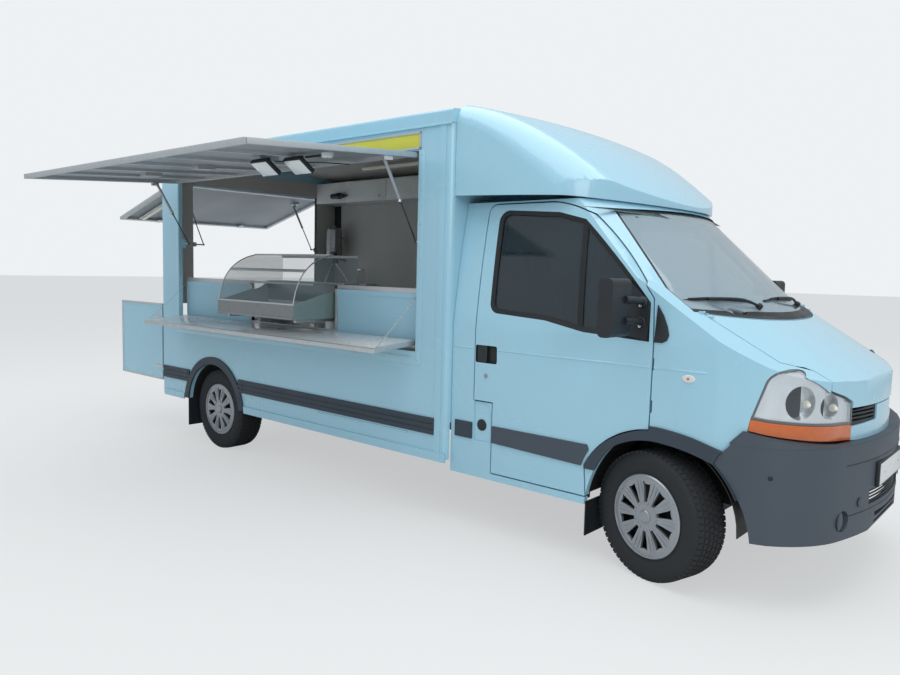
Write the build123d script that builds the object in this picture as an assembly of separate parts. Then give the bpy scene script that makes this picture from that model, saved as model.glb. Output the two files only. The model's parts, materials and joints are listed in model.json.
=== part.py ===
from build123d import *
import math
import os

# Food truck on a front-engined van chassis cab, with a serving box behind the cab.
# Lengths are millimetres. +X points forward, +Y to the vehicle's left, +Z up.
# The origin is on the road, under the middle of the front axle.

os.makedirs("parts", exist_ok=True)

# Running gear
wheelBase = 4078.0
tyreRadius = 345.0
tyreWidth = 225.0
rimRadius = 212.0
rimBarrelRadius = 196.0
rimBarrelWall = 8.0
coverRadius = 220.0
coverSpokes = 10
hubBoreRadius = 32.0
spindleGap = 0.05
frontTrackHalf = 875.0
rearTrackHalf = 865.0
kingpinHalf = 830.0
kingpinRadius = 14.0
steerRest = -15.2
rearArchRadius = 404.0
flareWidth = 58.0
frontFlareWidth = 70.0

# Cab body
cabBack = -1388.0
cabHalfWidth = 985.0
beltHeight = 1250.0
cabTopHalfWidth = 863.0
cabRoofHeight = 2026.0
cabFloorHeight = 560.0
sillBottom = 330.0
dashLow = 820.0
noseFront = 838.0
screenBaseX = 380.0
screenBaseZ = 1372.0
screenTopX = -292.0
screenTopZ = 1990.0
screenSag = 350.0
screenFootZ = 1100.0
bonnetFall = 0.62
bonnetCrown = 135.0
shellWall = 35.0
doorWall = 55.0
bonnetWall = 26.0
panelGap = 8.0
seatGap = 0.3
glassWall = 6.0
glassInset = 14.0
rubberWidth = 24.0
doorInner = 808.0
hingePinX = 0.0
hingePinY = 972.0
hingePinZ = 1250.0
hingeLean = 1.0
hingePinRadius = 3.0
hingeBarrelRadius = 5.5
hingeNeck = 35.0
hingeHeights = (930.0, 1150.0)
pocketBack = 44.0
pocketFront = 12.0
pocketHalf = 32.0
pocketPlay = 5.0
pocketNotch = 28.0
strapHalf = 20.0
strapWall = 5.0
strapFoot = 60.0
recessDepth = 20.0
stripProud = 10.0
windowRebate = 8.0
mirrorPlace = (-150.0, 1200.0, 1438.0)
mirrorSize = (80.0, 190.0, 292.0)
mirrorArmRadius = 13.0
mirrorArmHeights = (1372.0, 1478.0)
bonnetPinRadius = 3.5
bonnetBarrelRadius = 7.0
bonnetTop = 1420.0
bonnetHingeX = 150.0
bonnetHingeZ = 1421.0
bonnetHingeY = 825.0
lensWall = 7.0
fairingWall = 22.0

# Serving box
boxBack = -4925.0
boxFront = -1390.0
boxHalfWidth = 1030.0
boxWall = 35.0
boxBottom = 400.0
boxWallTop = 2505.0
gutterTop = 2592.0
roofCrown = 2645.0
boxFloorTop = 640.0
boxFloorWall = 36.0
postWidth = 290.0
postDepth = 100.0
postRadius = 50.0
openingFront = -1675.0
openingBottom = 1070.0
openingTop = 2356.0

# Serving flap, counter and display case
flapHingeZ = 2352.0
flapHingeGap = 6.0
flapLength = 1284.0
flapThickness = 30.0
flapRest = 86.0
counterHingeZ = 1128.0
counterHingeY = 979.0
counterDepth = 400.0
counterThickness = 30.0
counterDroop = 5.0
caseFront = -2610.0
caseLength = 960.0
caseDepth = 620.0
caseOuterY = 1300.0
caseBottom = 1224.0
caseTop = 1692.0
slideHeight = 22.0

# Rear end
rearDoorWidth = 800.0
rearDoorBottom = 508.0
rearDoorTop = 1226.0
rearDoorThickness = 32.0
rearFlapHalfWidth = 900.0
rearFlapLength = 1125.0
rearFlapHingeZ = 2372.0
rearFlapRest = 74.5
rearGap = 6.0


def profile(rows, grow=0.0):
    """Closed flat face; a row is (u, v) or (u, v, outward bulge of the edge that ends there)."""
    edges = []
    for index, row in enumerate(rows):
        start = rows[index - 1][:2]
        if len(row) == 3 and row[2]:
            edges.append(SagittaArc(start, row[:2], -row[2]))
        else:
            edges.append(Line(start, row[:2]))
    face = make_face(edges)
    if grow:
        face = offset(face, amount=grow)
    return face


def across(rows, y0, y1, grow=0.0):
    """Side-view outline (x, z) carried from y0 to y1."""
    return Pos(0, y1, 0) * extrude(Plane.XZ * profile(rows, grow), amount=y1 - y0)


def along(rows, x0, x1, grow=0.0):
    """Front-view outline (y, z) carried from x0 to x1."""
    return Pos(x0, 0, 0) * extrude(Plane.YZ * profile(rows, grow), amount=x1 - x0)


def upright(rows, z0, z1, grow=0.0):
    """Plan outline (x, y) carried from z0 to z1."""
    return Pos(0, 0, z0) * extrude(profile(rows, grow), amount=z1 - z0)


def block(x0, x1, y0, y1, z0, z1):
    centre = Pos((x0 + x1) / 2, (y0 + y1) / 2, (z0 + z1) / 2)
    return centre * Box(abs(x1 - x0), abs(y1 - y0), abs(z1 - z0))


def ringRows(x, radius):
    """Circle about the axle line at x, as two arcs."""
    return [(x, tyreRadius - radius, radius), (x, tyreRadius + radius, radius)]


def rod(start, end, radius):
    """Round bar between two points."""
    a = Vector(*start)
    b = Vector(*end)
    plane = Plane(origin=a, z_dir=b - a)
    return extrude(plane * Circle(radius), amount=(b - a).length)


def yBar(x, z, y0, y1, radius):
    return rod((x, min(y0, y1), z), (x, max(y0, y1), z), radius)


def placed(shape, side):
    """A left-hand shape as it is, or its mirror image on the right."""
    return shape if side > 0 else mirror(shape, about=Plane.XZ)


def solidsOf(*shapes):
    found = []
    for shape in shapes:
        found.extend(shape if isinstance(shape, list) else shape.solids())
    return found


nodes = {}


def keep(name, *shapes):
    """Collects the solids of one node."""
    nodes.setdefault(name, []).extend(solidsOf(*shapes))


# Outer form of the cab, drawn in by the inset
def planFront(front, shoulder, corner, side, inset):
    """Plan outline: bowed front, rounded corners and straight sides."""
    rows = [(cabBack - 400, -cabHalfWidth + inset), (side[0] - inset, -side[1] + inset)]
    rows.append((corner[0] - inset * 0.7, -corner[1] + inset * 0.7, 14.0))
    rows.append((shoulder[0] - inset, -shoulder[1] + inset * 0.4, 40.0))
    rows.append((shoulder[0] - inset, shoulder[1] - inset * 0.4, front - shoulder[0]))
    rows.append((corner[0] - inset * 0.7, corner[1] - inset * 0.7, 40.0))
    rows.append((side[0] - inset, side[1] - inset, 14.0))
    rows.append((cabBack - 400, cabHalfWidth - inset))
    return rows


forms = {}


def cabForm(inset=0.0):
    """Outer form of the cab drawn in by the inset; each inset is worked out once."""
    if inset not in forms:
        forms[inset] = drawnCab(inset)
        print("cab form", inset, round(forms[inset].volume / 1e9, 3))
    return forms[inset]


def drawnCab(inset):
    half = cabHalfWidth - inset
    section = [(-half, sillBottom), (half, sillBottom), (half, beltHeight)]
    section += [(cabTopHalfWidth - inset, cabRoofHeight - inset, 12.0)]
    section += [(-cabTopHalfWidth + inset, cabRoofHeight - inset)]
    section += [(-half, beltHeight, 12.0)]
    body = along(section, cabBack, noseFront + 60)
    nosePlan = planFront(noseFront, (756, 500), (520, 900), (230, cabHalfWidth + 8), inset)
    nose = upright(nosePlan, sillBottom, cabRoofHeight)
    bonnetReach = screenBaseX - cabBack
    bonnetBack = screenBaseZ + bonnetFall * bonnetReach - inset
    bonnetSection = [(-cabHalfWidth - 20, 0), (cabHalfWidth + 20, 0)]
    bonnetSection += [(cabHalfWidth + 20, bonnetBack - bonnetCrown)]
    bonnetSection += [(-cabHalfWidth - 20, bonnetBack - bonnetCrown, bonnetCrown)]
    bonnetFace = Pos(cabBack, 0, 0) * (Plane.YZ * profile(bonnetSection))
    fall = Vector(1, 0, -bonnetFall)
    wedge = extrude(bonnetFace, amount=(noseFront + 80 - cabBack) * fall.length, dir=fall)
    noseSide = [(cabBack, 0), (noseFront + 60, 0), (noseFront + 60 - inset, 800)]
    noseSide += [(noseFront + 5 - inset, 955), (700 - inset, 1190 - inset, 45.0)]
    noseSide += [(420 - inset, 1440), (400 - inset, 2100), (cabBack, 2100)]
    slope = (screenTopX - screenBaseX) / (screenTopZ - screenBaseZ)
    footX = screenBaseX + slope * (screenFootZ - screenBaseZ) - inset
    reachY = cabHalfWidth + 15
    glassPlan = [(footX - screenSag, -reachY, -screenSag), (footX + 1500, -reachY - 45)]
    glassPlan += [(footX + 1500, reachY + 45), (footX - screenSag, reachY)]
    lean = Vector(slope, 0, 1)
    glassFace = Pos(0, 0, screenFootZ) * profile(glassPlan)
    ahead = extrude(glassFace, amount=(cabRoofHeight + 60 - screenFootZ) * lean.length, dir=lean)
    return (body & nose & across(noseSide, -reachY, reachY)) - (ahead - wedge)


doorOutline = [
    (-1060, 378), (-404, 378), (-417, 553), (-44, 809, -58), (-40, 1250),
    (-60, 1482), (-480, 1930, 16), (-748, 2008, 14), (-1150, 2008), (-1205, 1955, 16),
    (-1205, 812), (-1060, 812),
]
windowOutline = [
    (-1050, 1352, 20), (-712, 1332), (-456, 1284), (-62, 1262), (-72, 1462),
    (-517, 1906, 10), (-700, 1951), (-1050, 1972), (-1122, 1900, 22), (-1112, 1420),
]
handleOutline = [(-1202, 1060), (-1190, 1046, 4), (-1052, 1046), (-1038, 1060, 4), (-1040, 1142),
                 (-1054, 1154, 4), (-1190, 1154), (-1202, 1142, 4)]
paddleOutline = [(-1190, 1044), (-1122, 1044), (-1122, 1156), (-1190, 1156)]
doorStrip = [(-1056, 566), (-432, 546), (-386, 640, -4), (-398, 668), (-1056, 668)]
pillarStrip = [(-1350, 566), (-1214, 566), (-1214, 668), (-1350, 668)]
fillerOutline = [(-1202, 560), (-1070, 560), (-1070, 740), (-1128, 802, 18), (-1202, 802)]


outerForm = cabForm(0.0)
shellCore = cabForm(shellWall)
doorCore = cabForm(doorWall)
recessForm = cabForm(recessDepth)
stripSkin = cabForm(-stripProud) - outerForm
sides = ((1, "left"), (-1, "right"))


# Cab door hinges: a pin in a pocket of the front pillar, leaning in with the door's side
def pinY(z):
    return hingePinY - (z - hingePinZ) * math.tan(math.radians(hingeLean))


def hingePin(z, reach, radius):
    """Bar on the left door's hinge line, as far above as below the height z."""
    ends = [(hingePinX, pinY(height), height) for height in (z - reach, z + reach)]
    return rod(*ends, radius)


def hingePocket(z):
    y0 = pinY(z) - hingeNeck - pocketPlay
    y1 = pinY(z) + hingeBarrelRadius + 0.7
    pocket = block(hingePinX - pocketBack, hingePinX + pocketFront, y0, y1, z - pocketHalf, z + pocketHalf)
    notchFront = hingePinX - pocketNotch
    return pocket + block(hingePinX - pocketBack, notchFront, y0, y1 + 20, z - pocketHalf, z + pocketHalf)


def hingeStrap(z):
    """Barrel with the swan-necked strap that reaches round the door's gap."""
    inner = pinY(z) - hingeNeck
    front = hingePinX + strapWall / 2
    strap = block(front - strapWall, front, inner, pinY(z), z - strapHalf, z + strapHalf)
    strap += block(hingePinX - strapFoot, front, inner, inner + strapWall, z - strapHalf, z + strapHalf)
    return strap + hingePin(z, strapHalf + 4, hingeBarrelRadius)


def sideBand(side, y0=560.0, y1=1400.0):
    """Range of Y on one side of the centre plane."""
    return (y0, y1) if side > 0 else (-y1, -y0)


# Lamp, grille, bonnet and bumper outlines, seen from the side or the front
lampOutline = [(452, 930), (775, 884), (790, 950), (716, 1060, 10), (640, 1135, 8),
               (575, 1170, 10), (505, 1110, 12)]
indicatorOutline = [(444, 872), (800, 800), (800, 880), (775, 882), (452, 928)]
lampMouth = [(440, 860), (812, 788), (812, 880), (790, 950), (716, 1060, 10), (640, 1135, 8),
             (575, 1170, 10), (505, 1110, 12), (452, 930)]
frontArch = [(-404, 345, 30), (-404, 150), (487, 150), (487, 345), (311, 696, 36), (49, 754, 9),
             (-250, 684, 28)]
bumperOutline = [(489, 332, -36), (960, 332), (960, 798), (800, 798), (444, 870), (330, 738), (311, 696)]
bonnetPlan = [(150, -850, -228), (530, -792), (640, -640), (960, -560), (960, 560), (640, 640),
              (530, 792), (150, 850)]
grilleOutline = [(150, 884), (470, 872), (505, 905), (500, 946), (150, 962)]
screenOutline = [(-886, 1424), (886, 1424, 32), (722, 1974), (-722, 1974, 14)]

# Bumper: its own outline, proud of the nose panel
bumperPlan = planFront(886, (800, 600), (560, 930), (240, cabHalfWidth + 12), 0)
bumperInner = planFront(886, (800, 600), (560, 930), (240, cabHalfWidth + 12), 30)
bumperSolid = upright(bumperPlan, 332, 800) - upright(bumperInner, 300, 900)
bumperSolid = bumperSolid & across(bumperOutline, -1000, 1000)
bumperTaper = [(300, 332), (862, 332), (890, 430), (890, 800), (300, 800)]
bumperSolid = bumperSolid & across(bumperTaper, -1000, 1000)
for y0, y1, z0, z1 in ((-330, 330, 470, 545), (-240, 240, 350, 372), (-240, 240, 392, 414)):
    bumperSolid -= block(700, 960, y0, y1, z0, z1)
for side, name in sides:
    bumperSolid -= rod((600, side * 590, 428), (960, side * 590, 428), 52)
keep("front_bumper", bumperSolid)

# Cab shell: sides, pillars, roof, scuttle and floor
shell = outerForm - shellCore
shell -= across(bumperOutline, -1100, 1100)
for side, name in sides:
    y0, y1 = sideBand(side, 430)
    shell -= across(lampMouth, y0, y1)
    y0, y1 = sideBand(side)
    shell -= across(doorOutline, *sideBand(side, doorInner - panelGap), panelGap)
    shell -= across(frontArch, y0, y1)
    shell -= along([(side * v[0], v[1]) for v in grilleOutline][::side], 600, 960)
bonnetCut = upright(bonnetPlan, 962, 1500)
shell -= bonnetCut
screenCut = along(screenOutline, -620, 600)
shell -= screenCut
shell -= block(-400, 900, -560, 560, 200, 500)
floorPan = block(cabBack + 2, -95, -545, 545, cabFloorHeight - 20, cabFloorHeight)
for side, name in sides:
    y0, y1 = sideBand(side, 545, cabHalfWidth - doorWall - panelGap)
    floorPan += block(cabBack + 2, -425, y0, y1, cabFloorHeight - 20, cabFloorHeight)
firewall = block(-95, -75, -545, 545, 545, dashLow - seatGap)
for side, name in sides:
    riserY = cabHalfWidth - doorWall - 45
    floorPan += block(cabBack + 2, -425, *sideBand(side, riserY, riserY + 20), 345, cabFloorHeight - 10)
    floorPan += block(cabBack + 2, -425, *sideBand(side, riserY, cabHalfWidth - shellWall + 2), 345, 367)
shell += floorPan
shell += firewall
scuttle = (cabForm(bonnetWall + seatGap) - cabForm(bonnetWall + 22)) & block(165, 235, -900, 900, 900, 1500)
shell += scuttle
for side, name in sides:
    shell -= block(bonnetHingeX - 14, bonnetHingeX + 40, *sideBand(side, bonnetHingeY - 20, bonnetHingeY + 20),
                   bonnetHingeZ - 48, bonnetHingeZ + 40)
    y0, y1 = sideBand(side, bonnetHingeY + 20, bonnetHingeY + 40)
    shell += block(bonnetHingeX - 8, bonnetHingeX + 8, y0, y1, bonnetHingeZ - 50, bonnetHingeZ + 8)
    y0, y1 = sideBand(side, bonnetHingeY - 18, bonnetHingeY + 21)
    shell += yBar(bonnetHingeX, bonnetHingeZ, y0, y1, bonnetPinRadius)
for side, name in sides:
    pillarIn = cabHalfWidth - doorWall - seatGap
    shell += block(-95, 0, *sideBand(side, pillarIn - 18, pillarIn), 880, 1200)
    shell += block(-39 + panelGap, 0, *sideBand(side, pillarIn - 18, cabHalfWidth - shellWall + 1), 880, 1200)
    for z in hingeHeights:
        shell -= placed(hingePocket(z), side)
        shell += placed(hingePin(z, pocketHalf + 2, hingePinRadius), side)
for side, name in sides:
    y0, y1 = sideBand(side)
    shell -= (outerForm - recessForm) & across(fillerOutline, y0, y1)
    keep("body_trims", (cabForm(8) - recessForm) & across(fillerOutline, y0, y1, -seatGap))
    keep("body_trims", stripSkin & across(pillarStrip, y0, y1))
keep("cab_shell", [piece for piece in shell.solids() if piece.volume > 1e6])

# Bonnet and front lamps
bonnet = (outerForm - cabForm(bonnetWall)) & upright(bonnetPlan, 967, bonnetTop, -panelGap)
for side, name in sides:
    bonnet -= across(lampMouth, *sideBand(side, 425), panelGap)
bonnet = max(bonnet.solids(), key=lambda piece: piece.volume)
for side, name in sides:
    y0, y1 = sideBand(side, bonnetHingeY - 13, bonnetHingeY + 13)
    bonnet += block(bonnetHingeX - 2, bonnetHingeX + 52, y0, y1, bonnetHingeZ - 32, bonnetHingeZ - 18)
    bonnet += block(bonnetHingeX - 4, bonnetHingeX + 4, y0, y1, bonnetHingeZ - 30, bonnetHingeZ)
    bonnet += yBar(bonnetHingeX, bonnetHingeZ, y0, y1, bonnetBarrelRadius)
for side, name in sides:
    y0, y1 = sideBand(side, bonnetHingeY - 30, bonnetHingeY + 30)
    bonnet -= yBar(bonnetHingeX, bonnetHingeZ, y0, y1, bonnetPinRadius + spindleGap)
keep("bonnet", bonnet)
lampForm = cabForm(1.0)
lensBack = cabForm(1.0 + lensWall)
lampCore = cabForm(70)
y0, y1 = sideBand(1, 430 + seatGap)
lens = (lampForm - lensBack) & across(lampOutline, y0, y1, -seatGap)
housing = (lensBack - lampCore) & across(lampOutline, y0, y1, -seatGap)
for x, y, z, radius in ((640, 780, 1010, 82), (720, 610, 985, 62)):
    housing -= rod((x - 60, y - 60, z), (x + 120, y + 120, z), radius)
housing = max(housing.solids(), key=lambda piece: piece.volume)
repeater = (lampForm - lampCore) & across(indicatorOutline, y0, y1, -seatGap)
for side, name in sides:
    keep("lamps", placed(lens, side), placed(Pos(-seatGap, 0, 0) * housing, side), placed(repeater, side))

# Grille: a frame with level slats each side of the middle
grilleForm = cabForm(8) - shellCore
for side, name in sides:
    rows = [(side * v[0], v[1]) for v in grilleOutline][::side]
    mouth = grilleForm & along(rows, 600, 960, -seatGap)
    for slat in range(3):
        z0 = 896 + slat * 20
        mouth -= along([(side * 170, z0), (side * 478, z0), (side * 478, z0 + 10),
                        (side * 170, z0 + 10)][::side], 600, 960)
    mouth -= across(lampMouth, *sideBand(side, 425), seatGap)
    keep("body_trims", mouth)

# Windscreen and cab glass
screenForm = cabForm(glassInset) - cabForm(glassInset + glassWall)
screen = screenForm & along(screenOutline, -620, 600, -seatGap)
keep("windscreen", max(screen.solids(), key=lambda piece: piece.volume))

# Doors with their glass and mirrors
for side, name in sides:
    y0, y1 = sideBand(side, 560)
    window = across(windowOutline, y0, y1)
    door = (outerForm - doorCore) & across(doorOutline, *sideBand(side, doorInner))
    door -= cabForm(glassInset) & block(-1230, -1188, y0, y1, beltHeight, 2030)
    door -= (outerForm - cabForm(windowRebate)) & window
    divider = across([(-492, 1200), (-458, 1200), (-510, 2000), (-544, 2000)], y0, y1)
    door -= across(windowOutline, y0, y1, -rubberWidth) - divider
    door -= (outerForm - recessForm) & across(handleOutline, y0, y1)
    door += (cabForm(1.0) - cabForm(14)) & across(paddleOutline, y0, y1)
    for z in hingeHeights:
        door += placed(hingeStrap(z), side)
        door -= placed(hingePin(z, pocketHalf + 8, hingePinRadius + spindleGap), side)
    door += stripSkin & across(doorStrip, y0, y1)
    keep("door_" + name, door)
    pane = (screenForm & across(windowOutline, y0, y1, -rubberWidth - seatGap)) - divider
    keep("door_glass_" + name, pane)
    head = Pos(mirrorPlace[0], side * mirrorPlace[1], mirrorPlace[2]) * Box(*mirrorSize)
    head = fillet(head.edges().filter_by(Axis.Y), 28)
    arms = []
    for z in mirrorArmHeights:
        arms.append(rod((mirrorPlace[0], side * 1120, z), (-112, side * 986, z - 10), mirrorArmRadius))
    sail = across([(-72, 1268), (-72, 1458), (-205, 1575), (-300, 1300)],
                  *sideBand(side, 900, 1100))
    sail = sail & (cabForm(-stripProud) - cabForm(windowRebate))
    mirrorSolid = head + arms[0] + arms[1] + sail
    keep("mirror_" + name, mirrorSolid)


# Over-cab fairing: a lofted shell from the box roof down to the windscreen head
fairingSections = (
    # x, half width, height at the centre, corner radius, crown
    (boxFront, 1000.0, 2650.0, 120.0, 22.0),
    (-1080.0, 990.0, 2566.0, 170.0, 30.0),
    (-760.0, 955.0, 2400.0, 230.0, 40.0),
    (-480.0, 880.0, 2200.0, 230.0, 50.0),
    (-250.0, 800.0, 2000.0, 60.0, 60.0),
)
fairingPlan = [(boxFront, -1010), (-760, -960, 10), (-500, -770, 36), (-500, 770, 215),
               (-760, 960, 36), (boxFront, 1010, 10)]
fairingUnder = [(boxFront - 5, 2064), (-640, 2040), (-200, 1996), (-200, 2900), (boxFront - 5, 2900)]


def fairingForm(inset):
    """Fairing drawn in by the inset."""
    sections = []
    for x, half, top, radius, crown in fairingSections:
        reach = half - inset
        high = top - inset - crown
        bulge = radius * (1 - math.sqrt(0.5))
        rows = [(-reach, 1700), (reach, 1700), (reach, high - radius), (reach - radius, high, bulge),
                (-reach + radius, high, crown), (-reach, high - radius, bulge)]
        sections.append(Pos(x, 0, 0) * (Plane.YZ * profile(rows)))
    shape = loft(sections)
    shape = shape & upright(fairingPlan, 1900, 2750, -inset)
    return shape & across(fairingUnder, -1100, 1100)


fairingOuter = fairingForm(0.0)
fairing = fairingOuter - fairingForm(fairingWall)
fairing -= outerForm
keep("roof_fairing", max(fairing.solids(), key=lambda piece: piece.volume))

# Serving box walls
flapHingeY = -boxHalfWidth - flapHingeGap
flapX0 = boxBack + postWidth + 6
flapX1 = openingFront - 6
lowerPin = (-972.0, 1785.0)
strutX = (flapX0 + 62, flapX1 - 62)
wallIn = boxHalfWidth - boxWall
doorHingeY = -boxHalfWidth + 8
hingeX = boxBack - rearGap - rearDoorThickness - 4
rearArch = ringRows(-wheelBase, rearArchRadius)
postFace = boxHalfWidth + 6
postRows = [(boxFront - postDepth, boxHalfWidth - 4), (boxFront - postRadius, boxHalfWidth - 4),
            (boxFront - postRadius, postFace), (boxFront - postDepth, postFace)]
postCut = [(boxFront + 5, postFace - postRadius), (boxFront + 5, postFace + 5),
           (boxFront - postRadius, postFace + 5), (boxFront - postRadius, postFace),
           (boxFront - 0.3, postFace - postRadius, -postRadius * 0.293)]
for side, name in sides:
    y0, y1 = sideBand(side, wallIn, boxHalfWidth)
    wall = block(boxBack, boxFront - 0.3, y0, y1, boxBottom, boxWallTop)
    wall -= across(rearArch, *sideBand(side, wallIn - 5, boxHalfWidth + 5))
    if side < 0:
        wall -= block(boxBack + postWidth, openingFront, y0 - 5, y1 + 5, openingBottom, openingTop)
        for x in (flapX0 + 80, flapX0 + 960, flapX1 - 960, flapX1 - 80):
            wall += block(x - 27, x - 15.3, flapHingeY - 5, -boxHalfWidth, flapHingeZ - 1, flapHingeZ + 12)
            wall += rod((x - 16, flapHingeY, flapHingeZ), (x + 14, flapHingeY, flapHingeZ), 3)
        for x, edge in ((strutX[0] - 6.3, boxBack + postWidth - 1), (strutX[1] + 6.3, openingFront + 1)):
            jamb = sorted((x, edge))
            wall += rod((jamb[0], *lowerPin), (jamb[1], *lowerPin), 6)
        for edge in (boxBack + postWidth - 12, openingFront):
            wall += block(edge, edge + 12, -wallIn - 5, lowerPin[0] + 12, lowerPin[1] - 40, lowerPin[1] + 40)
        for z in (620, 1100):
            wall += block(hingeX - 5, boxBack + 1, doorHingeY - 6, doorHingeY + 5, z - 12, z - 0.3)
            wall += Pos(hingeX, doorHingeY, z + 14) * Cylinder(4, 30)
    moulding = sideBand(side, boxHalfWidth, boxHalfWidth + 14)
    lip = block(boxBack + 30, boxFront - 0.3, moulding[0], moulding[1], 384, 440)
    lip -= across(rearArch, moulding[0] - 5, moulding[1] + 5, 70)
    corner = placed(upright(postRows, 440, boxWallTop - 2), side)
    wall -= placed(upright(postCut, boxBottom - 5, boxWallTop + 5), side)
    keep("box_side_" + name, wall + lip + corner)

# Front wall, rear frame, roof and floor
keep("box_front", block(boxFront - 40, boxFront - 0.3, -wallIn + 0.3, wallIn - 0.3,
                        boxFloorTop, boxWallTop - 2))
rearIn = boxBack + boxWall
rear = block(boxBack, rearIn, -wallIn, wallIn, boxBottom, boxWallTop)
rear -= block(boxBack - 5, rearIn + 5, -wallIn + postWidth - boxWall, wallIn - postWidth + boxWall,
              rearDoorTop + 4, rearFlapHingeZ - 20)
rear -= block(boxBack - 5, rearIn + 5, -wallIn + 60, -230, rearDoorBottom + 20, rearDoorTop + 5)
rearHinge = (boxBack - 36, rearFlapHingeZ)
for y in (-700, 0, 700):
    rear += block(rearHinge[0] - 5, boxBack, y - 27, y - 15.3, rearHinge[1] - 2, rearHinge[1] + 9)
    rear += rod((rearHinge[0], y - 16, rearHinge[1]), (rearHinge[0], y + 14, rearHinge[1]), 4)
rearLower = (boxBack + 62.0, 1790.0)
rearStrutY = rearFlapHalfWidth - 252
for side, name in sides:
    y0, y1 = sideBand(side, rearStrutY + 6.3, wallIn - postWidth + boxWall + 1)
    rear += block(boxBack + boxWall - 1, rearLower[0] + 6, y0, y1, rearLower[1] - 6, rearLower[1] + 6)
    y0, y1 = sideBand(side, wallIn - postWidth + boxWall - 14, wallIn - postWidth + boxWall + 6)
    rear += block(boxBack + 2, rearLower[0] + 6, y0, y1, rearLower[1] - 20, rearLower[1] + 20)
keep("box_rear_frame", rear)

roofRows = [(-boxHalfWidth - 8, boxWallTop), (boxHalfWidth + 8, boxWallTop),
            (boxHalfWidth + 8, gutterTop - 20), (boxHalfWidth - 12, gutterTop, 6),
            (-boxHalfWidth + 12, gutterTop, roofCrown - gutterTop),
            (-boxHalfWidth - 8, gutterTop - 20, 6)]
roofInner = [(-boxHalfWidth + 40, boxWallTop - 5), (boxHalfWidth - 40, boxWallTop - 5),
             (boxHalfWidth - 40, gutterTop - 45),
             (-boxHalfWidth + 40, gutterTop - 45, roofCrown - gutterTop)]
roof = along(roofRows, boxBack - 4, boxFront - 0.3)
roof -= along(roofInner, boxBack + 31, boxFront - 41)
keep("box_roof", roof)

boxFloor = block(boxBack + boxWall, boxFront - 2, -wallIn, wallIn, boxFloorTop - boxFloorWall, boxFloorTop)
for side, name in sides:
    y0, y1 = sideBand(side, 700, wallIn)
    boxOverWheel = block(-wheelBase - 430, -wheelBase + 430, y0, y1, boxFloorTop - boxFloorWall, 800)
    hollow = block(-wheelBase - 418, -wheelBase + 418, *sideBand(side, 712, wallIn + 5), 500, 788)
    boxFloor = (boxFloor + boxOverWheel) - hollow
keep("box_floor", boxFloor)

# Rub strips, arch flares, arch liners and mud flaps
for side, name in sides:
    for arch, axleX, flareY, width in ((frontArch, 0.0, cabHalfWidth, frontFlareWidth),
                                       (rearArch, -wheelBase, boxHalfWidth, flareWidth)):
        band = sideBand(side, flareY - 16, flareY + 14)
        flare = across(arch, *band, width) - across(arch, band[0] - 5, band[1] + 5, -5)
        flare = flare & block(axleX - 600, axleX + 600, *band, 400.0 if axleX else 535.0, 1000)
        if not axleX:
            flare -= outerForm
            flare -= across(bumperOutline, band[0] - 5, band[1] + 5, 1)
            flare -= across(doorOutline, band[0] - 5, band[1] + 5, panelGap)
        else:
            flare -= block(boxBack, boxFront, *sideBand(side, wallIn - 5, boxHalfWidth), 0, 2000)
        keep("body_trims", flare)
    y0, y1 = sideBand(side, boxHalfWidth, boxHalfWidth + 13)
    for x0, x1 in ((boxBack + 12, -wheelBase - 466), (-wheelBase + 466, boxFront - postDepth - 1)):
        strip = block(x0, x1, y0, y1, 550, 657)
        for rib in range(2):
            z = 580 + rib * 36
            strip -= block(x0 - 5, x1 + 5, *sideBand(side, boxHalfWidth + 9, boxHalfWidth + 20),
                           z, z + 10)
        keep("body_trims", strip)
    keep("body_trims", block(-403.3, -397, *sideBand(side, 760, 975), 150, 344))
    x = -wheelBase - rearArchRadius - 6
    keep("body_trims", block(x - 6, x, *sideBand(side, 760, boxHalfWidth - 1), 150, boxBottom - seatGap))

# Chassis frame, front crossmember and engine
railRows = [block(boxBack + 60, 560, *sideBand(side, 380, 450), 440, 540) for side, name in sides]
frame = railRows[0] + railRows[1]
for x in (-4700, -3300, -2400, -1500, -700, 500):
    frame += block(x - 30, x + 30, -380, 380, 455, 525)
for x in (-4600, -3500, -2600, -1700):
    frame += block(x - 25, x + 25, -960, 960, 540, boxFloorTop - boxFloorWall)
for side, name in sides:
    frame += block(540, 760, *sideBand(side, 395, 435), 470, 530)
frame += block(745, 785, -480, 480, 470, 545)
keep("engine_block", block(150, 620, -290, 300, 525.3, 885))

cross = block(-110, 110, -480, 480, 250, 330)
for side, name in sides:
    arm = block(-45, 45, *sideBand(side, 470, kingpinHalf - 20), 232, 262)
    boss = Pos(0, side * kingpinHalf, 247) * Cylinder(36, 30)
    arm = (arm + boss) - Pos(0, side * kingpinHalf, 247) * Cylinder(kingpinRadius + spindleGap, 80)
    cross += arm
    cross += block(-60, 60, *sideBand(side, 385, 445), 330, 440)
    cross += block(-60, 60, *sideBand(side, 470, 500), 330, 720)
keep("chassis_frame", frame + cross)

# Rear axle with leaf springs
axle = yBar(-wheelBase, 345, -740, 740, 42)
for side, name in sides:
    axle += yBar(-wheelBase, 345, side * 735, side * (rearTrackHalf + 40), hubBoreRadius - spindleGap)
    axle += block(-wheelBase - 650, -wheelBase + 650, *sideBand(side, 560, 625), 386, 410)
    for x in (-wheelBase - 640, -wheelBase + 640):
        axle += block(x - 20, x + 20, *sideBand(side, 560, 625), 410, 470)
        axle += block(x - 20, x + 20, *sideBand(side, 450.3, 625), 470, 520)
keep("rear_axle", axle)

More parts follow.
